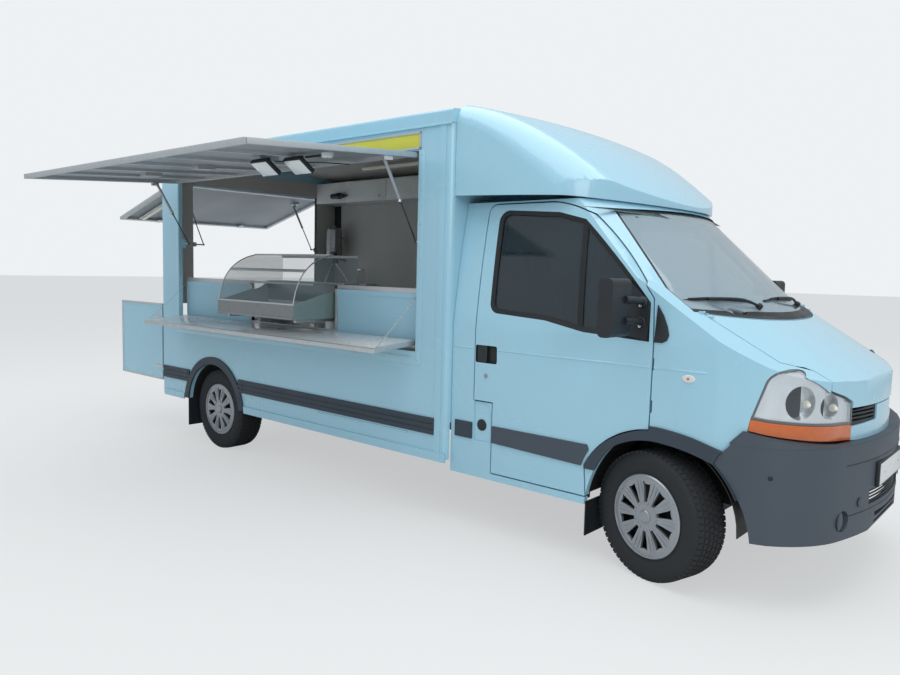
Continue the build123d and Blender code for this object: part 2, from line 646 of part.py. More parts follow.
# Wheels and steering knuckles
def wheelAt(x, y, side, steer):
    """Place for a wheel drawn about the origin with its outer face towards +Y."""
    turn = Rotation(0, 0, 0 if side > 0 else 180)
    place = Pos(x, y, tyreRadius) * turn
    if steer:
        pin = Pos(0, side * kingpinHalf, 0)
        place = pin * Rotation(0, 0, steerRest) * Pos(0, -side * kingpinHalf, 0) * place
    return place


halfTread = tyreWidth / 2
tyreRows = [(-80, rimRadius - 8), (80, rimRadius - 8), (96, rimRadius + 6),
            (halfTread - 4, 290, 10), (92, tyreRadius, 16), (-92, tyreRadius),
            (-halfTread + 4, 290, 16), (-96, rimRadius + 6, 10)]

def turned(rows):
    """Revolves an outline of (offset along the axle, radius) about the wheel's axis."""
    return revolve(Plane.YZ * profile(rows), axis=Axis.Y, revolution_arc=360)


tyre = turned(tyreRows)
barrel = turned([(-90, rimBarrelRadius - rimBarrelWall), (-90, rimRadius - 8.3),
                 (93, rimRadius - 8.3), (93, rimBarrelRadius - rimBarrelWall)])
disc = turned([(30, hubBoreRadius), (30, rimBarrelRadius - rimBarrelWall + 1),
               (42, rimBarrelRadius - rimBarrelWall + 1), (46, hubBoreRadius)])
cover = turned([(84, 0), (84, 62), (92, 90), (92, 190), (98, 205), (101, coverRadius),
                (106, coverRadius - 6), (108, 190, 2), (110, 90, 3), (108, 30, 2), (108, 0)])
for index in range(coverSpokes):
    slot = Rotation(0, index * 360 / coverSpokes, 0) * (
        Pos(0, 130, 0) * extrude(Plane.XZ * make_face(
            [Line((-9, 78), (9, 78)), Line((9, 78), (24, 178)),
             SagittaArc((24, 178), (-24, 178), 5), Line((-24, 178), (-9, 78))]), amount=60))
    cover -= slot
for index in range(coverSpokes):
    for ridgeX in (-11, 11):
        ridge = Pos(ridgeX, 108.0, 128.0) * Box(8, 5, 126)
        cover += Rotation(0, (index + 0.5) * 360 / coverSpokes, 0) * ridge
rim = barrel + disc + cover
knuckle = yBar(0, 0, -70, 58, hubBoreRadius - spindleGap) + yBar(0, 0, -110, -60, 78)
wheelRows = (("front", 0.0, frontTrackHalf, True), ("rear", -wheelBase, rearTrackHalf, False))
for end, x, track, steer in wheelRows:
    for side, name in sides:
        place = wheelAt(x, side * track, side, steer)
        keep("tyre_" + end + "_" + name, place * tyre)
        keep("rim_" + end + "_" + name, place * rim)
for side, name in sides:
    place = wheelAt(0.0, side * frontTrackHalf, side, True)
    pin = Pos(0, side * kingpinHalf, 247) * Cylinder(kingpinRadius, 50)
    post = Pos(0, side * kingpinHalf, 300) * Cylinder(22, 74)
    keep("knuckle_" + name, place * knuckle + pin + post)


# Serving flap: a framed panel on a top hinge, drawn closed and then swung up
def swung(shape, x, y, z, axis, angle):
    """Turns a shape about a line through (x, y, z)."""
    turn = {"x": Rotation(angle, 0, 0), "y": Rotation(0, angle, 0), "z": Rotation(0, 0, angle)}[axis]
    return Pos(x, y, z) * turn * Pos(-x, -y, -z) * shape


flapOuterY = -boxHalfWidth
flapTopZ = flapHingeZ - 4
flap = block(flapX0, flapX1, flapOuterY, flapOuterY + flapThickness,
             flapTopZ - flapLength + 12, flapTopZ)
flap -= block(flapX0 + 42, flapX1 - 42, flapOuterY + 5, flapOuterY + flapThickness + 5,
              flapTopZ - flapLength + 54, flapTopZ - 42)
ribCount = 5
ribStep = (flapX1 - flapX0) / (ribCount + 1)
for index in range(ribCount):
    x = flapX0 + ribStep * (index + 1)
    flap += block(x - 18, x + 18, flapOuterY + 5, flapOuterY + 24,
                  flapTopZ - flapLength + 54, flapTopZ - 42)
strutA = 232.0
strutOffset = 16.0
bracketX = (flapX0 + 36, flapX1 - 36)
for x in bracketX:
    z = flapTopZ - strutA
    y0 = flapOuterY + flapThickness
    flap += block(x - 3, x + 3, y0 - 4, y0 + 26, z - 20, z + 20)
    inward = 36 if x < -3000 else -36
    flap += rod((min(x, x + inward), y0 + strutOffset, z), (max(x, x + inward), y0 + strutOffset, z), 5)
for index in range(3):
    x = flapX0 + ribStep * (1.5 + index * 1.5)
    y0 = flapOuterY + 24
    flap += block(x - 45, x + 45, y0 - 19, y0 + 12, flapTopZ - 700, flapTopZ - 560)
flapLugs = [flapX0 + 80, flapX0 + 960, flapX1 - 960, flapX1 - 80]
for x in flapLugs:
    flap += block(x - 15, x + 15, flapHingeY - 1, flapOuterY + 6, flapHingeZ - 10, flapHingeZ - 1)
    flap += rod((x - 15, flapHingeY, flapHingeZ), (x + 15, flapHingeY, flapHingeZ), 5.6)
for x in flapLugs:
    flap -= rod((x - 20, flapHingeY, flapHingeZ), (x + 20, flapHingeY, flapHingeZ), 3.05)
closedFlap = flap
flapOpen = swung(closedFlap, 0, flapHingeY, flapHingeZ, "x", -flapRest)
keep("serving_flap", flapOpen)

# Flap gas struts: tubes on the flap's pins, rods down to the jamb pins
def turnedPoint(y, z, hy, hz, angle):
    a = math.radians(angle)
    dy, dz = y - hy, z - hz
    return hy + dy * math.cos(a) - dz * math.sin(a), hz + dy * math.sin(a) + dz * math.cos(a)


upperClosed = (flapOuterY + flapThickness + strutOffset, flapTopZ - strutA)
upperPin = turnedPoint(*upperClosed, flapHingeY, flapHingeZ, -flapRest)
strutRun = math.dist(upperPin, lowerPin)
strutDir = ((lowerPin[0] - upperPin[0]) / strutRun, (lowerPin[1] - upperPin[1]) / strutRun)
print("flap strut pins", upperPin, lowerPin, strutRun)


def strutPoint(distance):
    return (upperPin[0] + strutDir[0] * distance, upperPin[1] + strutDir[1] * distance)


tubeEnd = 290.0
rodStart = 274.0
for x in strutX:
    eye = rod((x - 7, *upperPin), (x + 7, *upperPin), 11)
    eye -= rod((x - 9, *upperPin), (x + 9, *upperPin), 5.05)
    tube = rod((x, *strutPoint(10)), (x, *strutPoint(tubeEnd)), 11)
    tube -= rod((x, *strutPoint(24)), (x, *strutPoint(tubeEnd + 2)), 5.05)
    tube -= rod((x - 9, *upperPin), (x + 9, *upperPin), 5.05)
    keep("flap_strut_tubes", eye + tube)
    shaft = rod((x, *strutPoint(rodStart)), (x, *strutPoint(strutRun - 4)), 5)
    tip = rod((x - 6, *strutPoint(strutRun)), (x + 6, *strutPoint(strutRun)), 8)
    keep("flap_strut_rods", shaft + tip)

# Counter: a framed board on hinges under the opening, folded up against the hatch when closed
counterX0 = boxBack + postWidth + 26
counterX1 = openingFront - 22
board = block(counterX0, counterX1, -counterHingeY - counterDepth, -counterHingeY - 8,
              counterHingeZ - counterThickness / 2, counterHingeZ + counterThickness / 2)
board -= block(counterX0 + 30, counterX1 - 30, -counterHingeY - counterDepth + 30,
               -counterHingeY - 38, counterHingeZ - counterThickness / 2 - 1, counterHingeZ - 3)
board += block(counterX0 + 30, counterX1 - 30, -counterHingeY - counterDepth + 30,
               -counterHingeY - 38, counterHingeZ, counterHingeZ + counterThickness / 2)
counterLugs = [counterX0 + 60, (counterX0 + counterX1) / 2, counterX1 - 60]
for x in counterLugs:
    board += block(x - 15, x + 15, -counterHingeY - 12, -counterHingeY, counterHingeZ - 5, counterHingeZ + 5)
    board += rod((x - 15, -counterHingeY, counterHingeZ), (x + 15, -counterHingeY, counterHingeZ), 8)
for x in counterLugs:
    board -= rod((x - 20, -counterHingeY, counterHingeZ), (x + 20, -counterHingeY, counterHingeZ), 4.05)
counter = swung(board, 0, -counterHingeY, counterHingeZ, "x", counterDroop)
keep("counter", counter)

# Infill panels behind the counter, sill rail and display case runners
infillY = (-956.0, -930.0)
infillTop = 1446.0
infillLow = openingBottom
caseBay = (caseFront - caseLength - 45, caseFront + 45)
frameSolids = []
for x0, x1 in ((boxBack + postWidth + 1, caseBay[0]), (caseBay[1], openingFront - 1)):
    panel = block(x0, x1, *infillY, infillLow, infillTop)
    panel -= block(x0 + 28, x1 - 28, infillY[0] - 5, infillY[0] + 6, infillLow + 60, infillTop - 34)
    panel -= block(x0 - 1, x1 + 1, infillY[0] - 5, infillY[0] + 1, 1118, 1150)
    frameSolids.append(panel)
sill = block(caseBay[0] + 0.3, caseBay[1] - 0.3, *infillY, infillLow, 1150)
frameSolids.append(sill)
for x in counterLugs:
    lug = block(x - 27, x - 15.3, -counterHingeY - 5, infillY[0], counterHingeZ - 10, counterHingeZ + 2)
    lug += rod((x - 16, -counterHingeY, counterHingeZ), (x + 14, -counterHingeY, counterHingeZ), 4)
    lug += block(x - 27, x - 15.3, infillY[0] - 1, infillY[0] + 2, counterHingeZ - 10, counterHingeZ + 2)
    frameSolids.append(lug)
for x in (caseFront - caseLength + 60, caseFront - 60):
    frameSolids.append(block(x - 9, x + 9, -955, -160, 1150.3, caseBottom - slideHeight - seatGap))
wheelRoom = block(-wheelBase - 431, -wheelBase + 431, -1000, -699, 500, 801)
cabinetTop = 1108.0


def cabinet(x0, x1, top):
    """Base cabinet with a front, ends, a floor and one shelf, open towards the aisle."""
    body = block(x0, x1, infillY[1] + seatGap, -300, boxFloorTop + seatGap, top)
    body -= block(x0 + 18, x1 - 18, infillY[1] + 18, -299, boxFloorTop + 80, top - 18)
    body += block(x0 + 10, x1 - 10, infillY[1] + 10, -320, 860, 878)
    return body - wheelRoom


for x0, x1 in ((boxBack + postWidth + 60, caseBay[0] - 20), (caseBay[1] + 20, boxFront - 60)):
    frameSolids.append(block(x0, x1, infillY[1] + seatGap, -200, cabinetTop, 1150))
    frameSolids.append(cabinet(x0, x1, cabinetTop - seatGap))
frameSolids.append(cabinet(caseBay[0] - 19.7, caseBay[1] + 19.7, 1150))
keep("counter_frame", *frameSolids)

# Display case on its runners
caseX0 = caseFront - caseLength
caseX1 = caseFront
caseBackY = -caseOuterY + caseDepth
tray = block(caseX0, caseX1, -caseOuterY, caseBackY, caseBottom, caseBottom + 105)
tray -= block(caseX0 + 15, caseX1 - 15, -caseOuterY + 15, caseBackY - 160, caseBottom + 30,
              caseBottom + 120)
machine = block(caseX0, caseX1, caseBackY - 150, caseBackY, caseBottom + 105, caseBottom + 262)
for index in range(5):
    z = caseBottom + 130 + index * 22
    machine -= block(caseX1 - 14, caseX1 + 5, caseBackY - 120, caseBackY - 30, z, z + 9)
sideRows = [(-caseOuterY + 4, caseBottom + 105), (caseBackY - 150, caseBottom + 105),
            (caseBackY - 150, caseBottom + 262), (-caseOuterY + 300, caseBottom + 190, -20)]
ends = [along(sideRows, x, x + 12) for x in (caseX0, caseX1 - 12)]
slides = []
for x in (caseFront - caseLength + 60, caseFront - 60):
    slides.append(block(x - 12, x + 12, -caseOuterY + 60, caseBackY + 240,
                        caseBottom - slideHeight, caseBottom))
base = tray + machine
for piece in ends + slides:
    base += piece
keep("case_base", base)
glassRows = [(-caseOuterY + 6, caseBottom + 105.3, 92), (-caseOuterY + 12, caseBottom + 105.3),
             (caseBackY - 268, caseTop - 6, -90), (caseBackY - 4, caseTop - 6),
             (caseBackY - 4, caseTop), (caseBackY - 270, caseTop)]
glassShell = along(glassRows, caseX0 + 6, caseX1 - 6)
endRows = [(-caseOuterY + 13, caseBottom + 106, 88), (caseBackY - 8, caseBottom + 270),
           (caseBackY - 8, caseTop - 6.3), (caseBackY - 266, caseTop - 6.3)]
endPanes = []
for x in (caseX0 + 6, caseX1 - 12):
    pane = along(endRows, x, x + 6)
    pane -= block(x - 5, x + 11, caseBackY - 150.3, caseBackY + 5, caseBottom, caseBottom + 262.3)
    for end in ends:
        pane -= end
    endPanes.append(pane)
shelf = block(caseX0 + 12.3, caseX1 - 12.3, -caseOuterY + 190, caseBackY - 20, 1472, 1480)
glassSolid = glassShell
for piece in endPanes + [shelf]:
    glassSolid += piece
glassSolid -= base
keep("case_glass", glassSolid)

# Rear flap over the upper opening, drawn closed and then swung up
rearFlapX = boxBack - rearGap
rearFlap = block(rearFlapX - 28, rearFlapX, -rearFlapHalfWidth, rearFlapHalfWidth,
                 rearFlapHingeZ - rearFlapLength, rearFlapHingeZ - 4)
rearFlap -= block(rearFlapX - 23, rearFlapX + 5, -rearFlapHalfWidth + 40, rearFlapHalfWidth - 40,
                  rearFlapHingeZ - rearFlapLength + 40, rearFlapHingeZ - 44)
rearStrutA = 240.0
for y in (-700, 0, 700):
    rearFlap += block(rearHinge[0] - 2, rearFlapX - 20, y - 15, y + 15, rearHinge[1] - 12, rearHinge[1] - 1)
    rearFlap += rod((rearHinge[0], y - 15, rearHinge[1]), (rearHinge[0], y + 15, rearHinge[1]), 7)
for y in (-700, 0, 700):
    rearFlap -= rod((rearHinge[0], y - 20, rearHinge[1]), (rearHinge[0], y + 20, rearHinge[1]), 4.05)
for side, name in sides:
    y = side * (rearFlapHalfWidth - 230)
    z = rearFlapHingeZ - rearStrutA
    rearFlap += block(rearFlapX - 24, rearFlapX + 22, y - 3, y + 3, z - 18, z + 18)
    rearFlap += rod((rearFlapX + 14, y - side * 30, z), (rearFlapX + 14, y, z), 5)
    rearFlap += block(rearFlapX - 24, rearFlapX - 6, y - 40, y + 40, z - 30, z + 30)
rearOpen = swung(rearFlap, rearHinge[0], 0, rearHinge[1], "y", rearFlapRest)
keep("rear_flap", rearOpen)


def turnedXZ(x, z, hx, hz, angle):
    a = math.radians(angle)
    dx, dz = x - hx, z - hz
    return hx + dx * math.cos(a) + dz * math.sin(a), hz - dx * math.sin(a) + dz * math.cos(a)


rearUpper = turnedXZ(rearFlapX + 14, rearFlapHingeZ - rearStrutA, *rearHinge, rearFlapRest)
rearRun = math.dist(rearUpper, rearLower)
rearDir = ((rearLower[0] - rearUpper[0]) / rearRun, (rearLower[1] - rearUpper[1]) / rearRun)
print("rear strut pins", rearUpper, rearLower, rearRun)


def rearPoint(distance, y):
    return (rearUpper[0] + rearDir[0] * distance, y, rearUpper[1] + rearDir[1] * distance)


for side, name in sides:
    y = side * rearStrutY
    eye = rod((rearUpper[0], y - 7, rearUpper[1]), (rearUpper[0], y + 7, rearUpper[1]), 11)
    tube = rod(rearPoint(10, y), rearPoint(tubeEnd, y), 11)
    hole = rod((rearUpper[0], y - 9, rearUpper[1]), (rearUpper[0], y + 9, rearUpper[1]), 5.05)
    keep("rear_strut_tubes", (eye + tube) - hole - rod(rearPoint(24, y), rearPoint(tubeEnd + 2, y), 5.05))
    tipA = (rearPoint(rearRun, y)[0], y - 6, rearPoint(rearRun, y)[2])
    tipB = (rearPoint(rearRun, y)[0], y + 6, rearPoint(rearRun, y)[2])
    keep("rear_strut_rods", rod(rearPoint(rodStart, y), rearPoint(rearRun - 4, y), 5) + rod(tipA, tipB, 8))

# Rear lower door on the right-hand corner, drawn closed and then swung open
closedDoor = block(boxBack - rearGap - rearDoorThickness, boxBack - rearGap, doorHingeY + 8,
                   doorHingeY + 8 + rearDoorWidth, rearDoorBottom, rearDoorTop)
closedDoor -= block(boxBack - rearGap - rearDoorThickness - 1, boxBack - rearGap - rearDoorThickness + 3,
                    doorHingeY + 38, doorHingeY - 22 + rearDoorWidth,
                    rearDoorBottom + 30, rearDoorTop - 30)
for z in (620, 1100):
    closedDoor += block(hingeX - 3, hingeX + 9, doorHingeY, doorHingeY + 14, z, z + 28)
    closedDoor += Pos(hingeX, doorHingeY, z + 14) * Cylinder(7, 28)
    closedDoor -= Pos(hingeX, doorHingeY, z + 14) * Cylinder(4.05, 32)
rearDoor = swung(closedDoor, hingeX, doorHingeY, 0, "z", 90)
keep("rear_door", rearDoor)

# Cab interior: seats, dashboard and steering wheel
seatRows = [(-1180, 700), (-640, 700), (-620, 860, 10), (-1090, 830), (-1210, 1560, 20),
            (-1330, 1560, 12)]
keep("seats", across(seatRows, 180, 700), across(seatRows, -880, -60))
headrest = [(-1290, 1572.3), (-1210, 1572.3), (-1225, 1740, 8), (-1300, 1740, 8)]
for y in (440, -280, -660):
    keep("seats", across(headrest, y - 120, y + 120))
seatBase = [(-1150, cabFloorHeight + 0.3), (-680, cabFloorHeight + 0.3), (-660, 699.7), (-1170, 699.7)]
keep("seats", across(seatBase, 220, 660), across(seatBase, -840, -100))
dashRows = [(-110, dashLow), (120, dashLow), (250, 1150), (190, 1262), (-60, 1300, 10), (-210, 1250, 14),
            (-230, 1080, 10), (-160, 960)]
dash = across(dashRows, -880, 880)
column = rod((-60, 420, 1120), (-330, 420, 1235), 28)
keep("dashboard", dash + column)
columnDir = Vector(-270, 0, 115).normalized()
wheelCentre = Vector(-330, 420, 1235) + columnDir * 15.3
wheelPlane = Plane(origin=wheelCentre, z_dir=columnDir)
ringSolid = wheelPlane * Torus(195, 15)
hub = wheelPlane * (Pos(0, 0, 2) * Cylinder(62, 34))
spokes = wheelPlane * Box(372, 44, 14)
spokeDown = wheelPlane * (Pos(0, 95, 0) * Box(44, 180, 14))
steering = ringSolid + hub + spokes + spokeDown
keep("steering_wheel", steering)

# Fittings inside the box
keep("interior_fittings", block(boxBack + 500, boxFront - 45, wallIn - 260, wallIn - 0.3, 2285, 2500))
dispenser = Pos(boxFront - 120, 520, 1620) * Cylinder(75, 300)
keep("interior_fittings", dispenser)
keep("interior_fittings", block(boxFront - 60, boxFront - 40.3, 470, 570, 1480, 1760))

# Rear lamps
for y, z0, z1 in ((900, 520, 720), (-900, 420, 500)):
    keep("lamps", block(boxBack - 14, boxBack - seatGap, y - 45, y + 45, z0, z1))

for name, solids in nodes.items():
    bad = [s for s in solids if not s.is_valid]
    print(name, len(solids), "solids", "bad" if bad else "")
    export_step(Compound(children=solids), "parts/" + name + ".step")
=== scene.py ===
import bmesh
import bpy
import math
from mathutils import Matrix, Vector
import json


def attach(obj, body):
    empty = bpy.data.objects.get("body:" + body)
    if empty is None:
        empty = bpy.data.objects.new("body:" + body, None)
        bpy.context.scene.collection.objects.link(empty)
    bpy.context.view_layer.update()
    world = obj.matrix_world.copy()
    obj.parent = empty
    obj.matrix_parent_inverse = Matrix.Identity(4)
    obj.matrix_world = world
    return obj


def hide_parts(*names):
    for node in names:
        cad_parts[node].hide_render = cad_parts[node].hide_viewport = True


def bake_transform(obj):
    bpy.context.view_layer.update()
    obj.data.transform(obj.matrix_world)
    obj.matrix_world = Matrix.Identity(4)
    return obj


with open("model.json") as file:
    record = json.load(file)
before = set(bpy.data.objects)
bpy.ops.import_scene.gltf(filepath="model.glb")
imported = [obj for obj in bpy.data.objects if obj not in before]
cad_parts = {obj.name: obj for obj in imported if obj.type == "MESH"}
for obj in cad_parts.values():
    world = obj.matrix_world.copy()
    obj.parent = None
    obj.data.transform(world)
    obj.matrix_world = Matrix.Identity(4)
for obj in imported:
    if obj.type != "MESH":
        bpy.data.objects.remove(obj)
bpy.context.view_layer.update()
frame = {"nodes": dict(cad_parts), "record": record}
nodes = frame["nodes"]
print("frame loaded:", len(nodes), "nodes")

# Camera, solved from the photograph's wheels and upright edges
camera = {
    "place": (1.6818, -4.5528, 1.6066), "yaw": -40.960, "pitch": -5.155, "roll": 1.365,
    "focalPixels": 750.09, "pictureWidth": 900.0, "sensor": 36.0,
}


def makeCamera():
    yaw, pitch, roll = (math.radians(camera[key]) for key in ("yaw", "pitch", "roll"))
    forward = Vector((-math.sin(yaw) * math.cos(pitch) * -1, math.cos(yaw) * math.cos(pitch), math.sin(pitch)))
    right = Vector((math.cos(yaw), -math.sin(yaw), 0))
    up = right.cross(forward)
    tiltedRight = right * math.cos(roll) + up * math.sin(roll)
    tiltedUp = up * math.cos(roll) - right * math.sin(roll)
    data = bpy.data.cameras.new("photoCamera")
    data.sensor_width = camera["sensor"]
    data.lens = camera["focalPixels"] / camera["pictureWidth"] * camera["sensor"]
    data.clip_end = 200
    cameraObject = bpy.data.objects.new("photoCamera", data)
    bpy.context.scene.collection.objects.link(cameraObject)
    turn = Matrix((tiltedRight, tiltedUp, -forward)).transposed().to_4x4()
    cameraObject.matrix_world = Matrix.Translation(camera["place"]) @ turn
    bpy.context.scene.camera = cameraObject


makeCamera()

# Light and floor
studio = {
    "worldBlue": "#DCE4EA", "worldStrength": 0.8, "floor": "#D5D6D5", "floorSize": 160.0, "floorLift": 0.6,
    "keySize": 14.0, "keyHeight": 10.0, "keyPower": 850.0, "fillPower": 240.0,
}


# sRGB hex to linear red, green, blue, alpha
def linear(hexColour):
    parts = [int(hexColour[i:i + 2], 16) / 255 for i in (1, 3, 5)]
    return [p / 12.92 if p <= 0.04045 else ((p + 0.055) / 1.055) ** 2.4 for p in parts] + [1.0]


# One shader node with its settings; an input is a value or a (node, output) link
def addNode(tree, kind, settings=None, inputs=None):
    made = tree.nodes.new(kind)
    for key, value in (settings or {}).items():
        setattr(made, key, value)
    for key, value in (inputs or {}).items():
        if isinstance(value, tuple) and isinstance(value[0], bpy.types.Node):
            tree.links.new(value[0].outputs[value[1]], made.inputs[key])
        else:
            made.inputs[key].default_value = value
    return made


def makeStudio():
    world = bpy.data.worlds.new("studioWorld")
    bpy.context.scene.world = world
    world.use_nodes = True
    tree = world.node_tree
    tree.nodes.clear()
    paths = addNode(tree, "ShaderNodeLightPath")
    seen = addNode(tree, "ShaderNodeMath", {"operation": "MAXIMUM"},
                   {0: (paths, "Is Camera Ray"), 1: (paths, "Is Transmission Ray")})
    low = addNode(tree, "ShaderNodeBackground", None,
                  {"Color": linear(studio["worldBlue"]), "Strength": studio["worldStrength"]})
    high = addNode(tree, "ShaderNodeBackground", None,
                   {"Color": linear("#EEF1F3"), "Strength": 1.0})
    mixed = addNode(tree, "ShaderNodeMixShader", None, {0: (seen, 0), 1: (low, 0), 2: (high, 0)})
    addNode(tree, "ShaderNodeOutputWorld", None, {"Surface": (mixed, 0)})
    for name, place, aim, size, power in (
            ("skyLamp", (-1.5, -1.0, studio["keyHeight"]), (-1.5, 0, 0), studio["keySize"], studio["keyPower"]),
            ("frontLamp", (9.0, -7.0, 5.0), (-0.5, 0, 1.2), 6.0, studio["fillPower"])):
        data = bpy.data.lights.new(name, "AREA")
        data.shape = "DISK"
        data.size = size
        data.energy = power
        lamp = bpy.data.objects.new(name, data)
        bpy.context.scene.collection.objects.link(lamp)
        lamp.location = place
        lamp.rotation_euler = (Vector(aim) - Vector(place)).to_track_quat("-Z", "Y").to_euler()
    bpy.ops.mesh.primitive_plane_add(size=studio["floorSize"], location=(-2, 0, 0))
    floor = bpy.context.object
    floor.name = "floor"
    material = bpy.data.materials.new("pale_floor")
    material.use_nodes = True
    shader = material.node_tree.nodes["Principled BSDF"]
    shader.inputs["Base Color"].default_value = linear(studio["floor"])
    shader.inputs["Roughness"].default_value = 0.85
    tree = material.node_tree
    seenRay = addNode(tree, "ShaderNodeLightPath")
    part = addNode(tree, "ShaderNodeMath", {"operation": "MULTIPLY"},
                   {0: (seenRay, "Is Camera Ray"), 1: studio["floorLift"]})
    glow = addNode(tree, "ShaderNodeEmission", None, {"Color": linear("#F1F3F4"), "Strength": 1.0})
    both = addNode(tree, "ShaderNodeMixShader", None, {0: (part, 0), 1: (shader, 0), 2: (glow, 0)})
    tree.links.new(both.outputs[0], tree.nodes["Material Output"].inputs["Surface"])
    floor.data.materials.append(material)
    bpy.context.scene.view_settings.view_transform = "Standard"


makeStudio()
print("camera and studio made")

# Finishes
finishes = {}


# grain is (size in mm, depth in mm); tint is (second colour, patch size in mm)
def finish(name, colour, roughness, metallic=0.0, ior=1.5, coat=0.0, grain=None, tint=None,
           alpha=1.0, sheen=0.0, emission=None, weave=None):
    material = bpy.data.materials.new(name)
    material.use_nodes = True
    tree = material.node_tree
    shader = tree.nodes["Principled BSDF"]
    shader.inputs["Base Color"].default_value = linear(colour)
    shader.inputs["Roughness"].default_value = roughness
    shader.inputs["Metallic"].default_value = metallic
    shader.inputs["IOR"].default_value = ior
    shader.inputs["Coat Weight"].default_value = coat
    shader.inputs["Coat Roughness"].default_value = 0.06
    shader.inputs["Alpha"].default_value = alpha
    shader.inputs["Sheen Weight"].default_value = sheen
    if emission:
        shader.inputs["Emission Color"].default_value = linear(emission[0])
        shader.inputs["Emission Strength"].default_value = emission[1]
    place = addNode(tree, "ShaderNodeTexCoord")
    if tint:
        patches = addNode(tree, "ShaderNodeTexNoise", None,
                          {"Vector": (place, "Object"), "Scale": 1000.0 / tint[1], "Detail": 4.0})
        mixed = addNode(tree, "ShaderNodeMix", {"data_type": "RGBA"}, {"Factor": (patches, "Fac")})
        mixed.inputs[6].default_value = linear(colour)
        mixed.inputs[7].default_value = linear(tint[0])
        tree.links.new(mixed.outputs[2], shader.inputs["Base Color"])
        spread = addNode(tree, "ShaderNodeMapRange", None,
                         {"Value": (patches, "Fac"), "From Min": 0.3, "From Max": 0.7,
                          "To Min": max(roughness - 0.05, 0.02), "To Max": min(roughness + 0.07, 1.0)})
        tree.links.new(spread.outputs["Result"], shader.inputs["Roughness"])
    if grain or weave:
        if weave:
            grains = addNode(tree, "ShaderNodeTexWave", {"wave_type": "BANDS", "bands_direction": "DIAGONAL"},
                             {"Vector": (place, "Object"), "Scale": 1000.0 / weave[0], "Distortion": 1.5})
        else:
            grains = addNode(tree, "ShaderNodeTexNoise", None,
                             {"Vector": (place, "Object"), "Scale": 1000.0 / grain[0], "Detail": 3.0})
        depth = (weave or grain)[1]
        bump = addNode(tree, "ShaderNodeBump", None,
                       {"Height": (grains, "Fac"), "Distance": depth / 1000.0, "Strength": 0.6})
        tree.links.new(bump.outputs["Normal"], shader.inputs["Normal"])
    finishes[name] = material
    return material


# Sprayed two-pack enamel: level and glossy, with a faint orange peel
finish("aqua_enamel", "#A3D0E2", 0.24, coat=0.5, grain=(9.0, 0.04), tint=("#9ECBDD", 900.0))
# The same enamel rolled on ply panels behind the counter, flatter
finish("aqua_panel", "#A3CFE1", 0.34, grain=(12.0, 0.06), tint=("#9CC8DA", 500.0))
finish("yellow_band", "#D6CE4E", 0.35, tint=("#CBC348", 200.0))
# Moulded polypropylene, grained and faded by weather
finish("grained_polypropylene", "#3E4650", 0.55, grain=(1.8, 0.22), tint=("#48515B", 260.0))
finish("strip_polypropylene", "#2C3742", 0.5, grain=(2.0, 0.2), tint=("#36414C", 200.0))
finish("black_polypropylene", "#1C2024", 0.5, grain=(2.0, 0.2), tint=("#23282D", 90.0))
# Deep black moulded rubber
finish("window_rubber", "#121518", 0.45, grain=(3.0, 0.08), tint=("#1A1D20", 60.0))
finish("tyre_rubber", "#1F2124", 0.78, grain=(2.4, 0.25), tint=("#2A2C2F", 60.0))
# Silver lacquer over moulded nylon
finish("silver_lacquer", "#A4A8AD", 0.32, metallic=0.6, coat=0.4, tint=("#979BA1", 120.0))
finish("wheel_steel", "#3A3C3F", 0.5, metallic=0.6, tint=("#2F3133", 60.0))
# Green-grey tinted float glass, thin enough to see through
finish("tinted_glass", "#24343B", 0.03, coat=1.0, alpha=0.6)
finish("screen_glass", "#A3B8C2", 0.03, coat=1.0, alpha=0.62)
finish("clear_glass", "#7E9296", 0.03, coat=1.0, alpha=0.2)
finish("mirror_glass", "#C9D2D6", 0.03, metallic=1.0)
# Aluminium sections, etched and anodised: soft grey with fine draw lines
finish("anodised_aluminium", "#CDD0D2", 0.4, metallic=0.7, grain=(2.0, 0.05),
       tint=("#BEC1C4", 40.0))
finish("white_laminate", "#E6E8E9", 0.25, coat=0.3, tint=("#DDE0E1", 300.0))
finish("white_powder", "#DDE0E1", 0.4, grain=(1.4, 0.05), tint=("#D3D6D8", 150.0))
# Grey glass-fibre lining inside the box
finish("grey_lining", "#C6C6C3", 0.5, tint=("#BDBCB8", 500.0))
finish("chassis_black", "#17181A", 0.5, grain=(4.0, 0.2), tint=("#2A2724", 150.0))
finish("brushed_steel", "#9A9C9D", 0.32, metallic=0.95, grain=(1.5, 0.04), tint=("#8A8C8E", 60.0))
finish("end_plate", "#74898A", 0.4, tint=("#869A97", 120.0))
finish("flap_liner", "#9EA3A8", 0.4, tint=("#92979C", 400.0))
finish("spot_glass", "#F2F5F6", 0.08, coat=0.6, tint=("#E3E8EA", 30.0))
finish("lamp_border", "#565E65", 0.2, coat=0.4, tint=("#616A71", 40.0))
finish("cast_alloy", "#85868A", 0.55, metallic=0.8, grain=(3.0, 0.3), tint=("#6E7074", 40.0))
finish("plywood_floor", "#5C5750", 0.6, grain=(5.0, 0.2), tint=("#4C4842", 80.0))
finish("woven_seat_cloth", "#3A3E45", 0.9, sheen=0.3, weave=(3.0, 0.3), tint=("#4A4F57", 30.0))
finish("dashboard_plastic", "#2F3438", 0.62, grain=(1.8, 0.25), tint=("#393E43", 200.0))
finish("cab_trim", "#6A7076", 0.75, grain=(2.2, 0.2), tint=("#5F656B", 200.0))
finish("hard_chrome", "#D5D7D9", 0.12, metallic=1.0, tint=("#C9CBCD", 80.0))
finish("cylinder_black", "#16171A", 0.3, coat=0.3, tint=("#1F2023", 50.0))
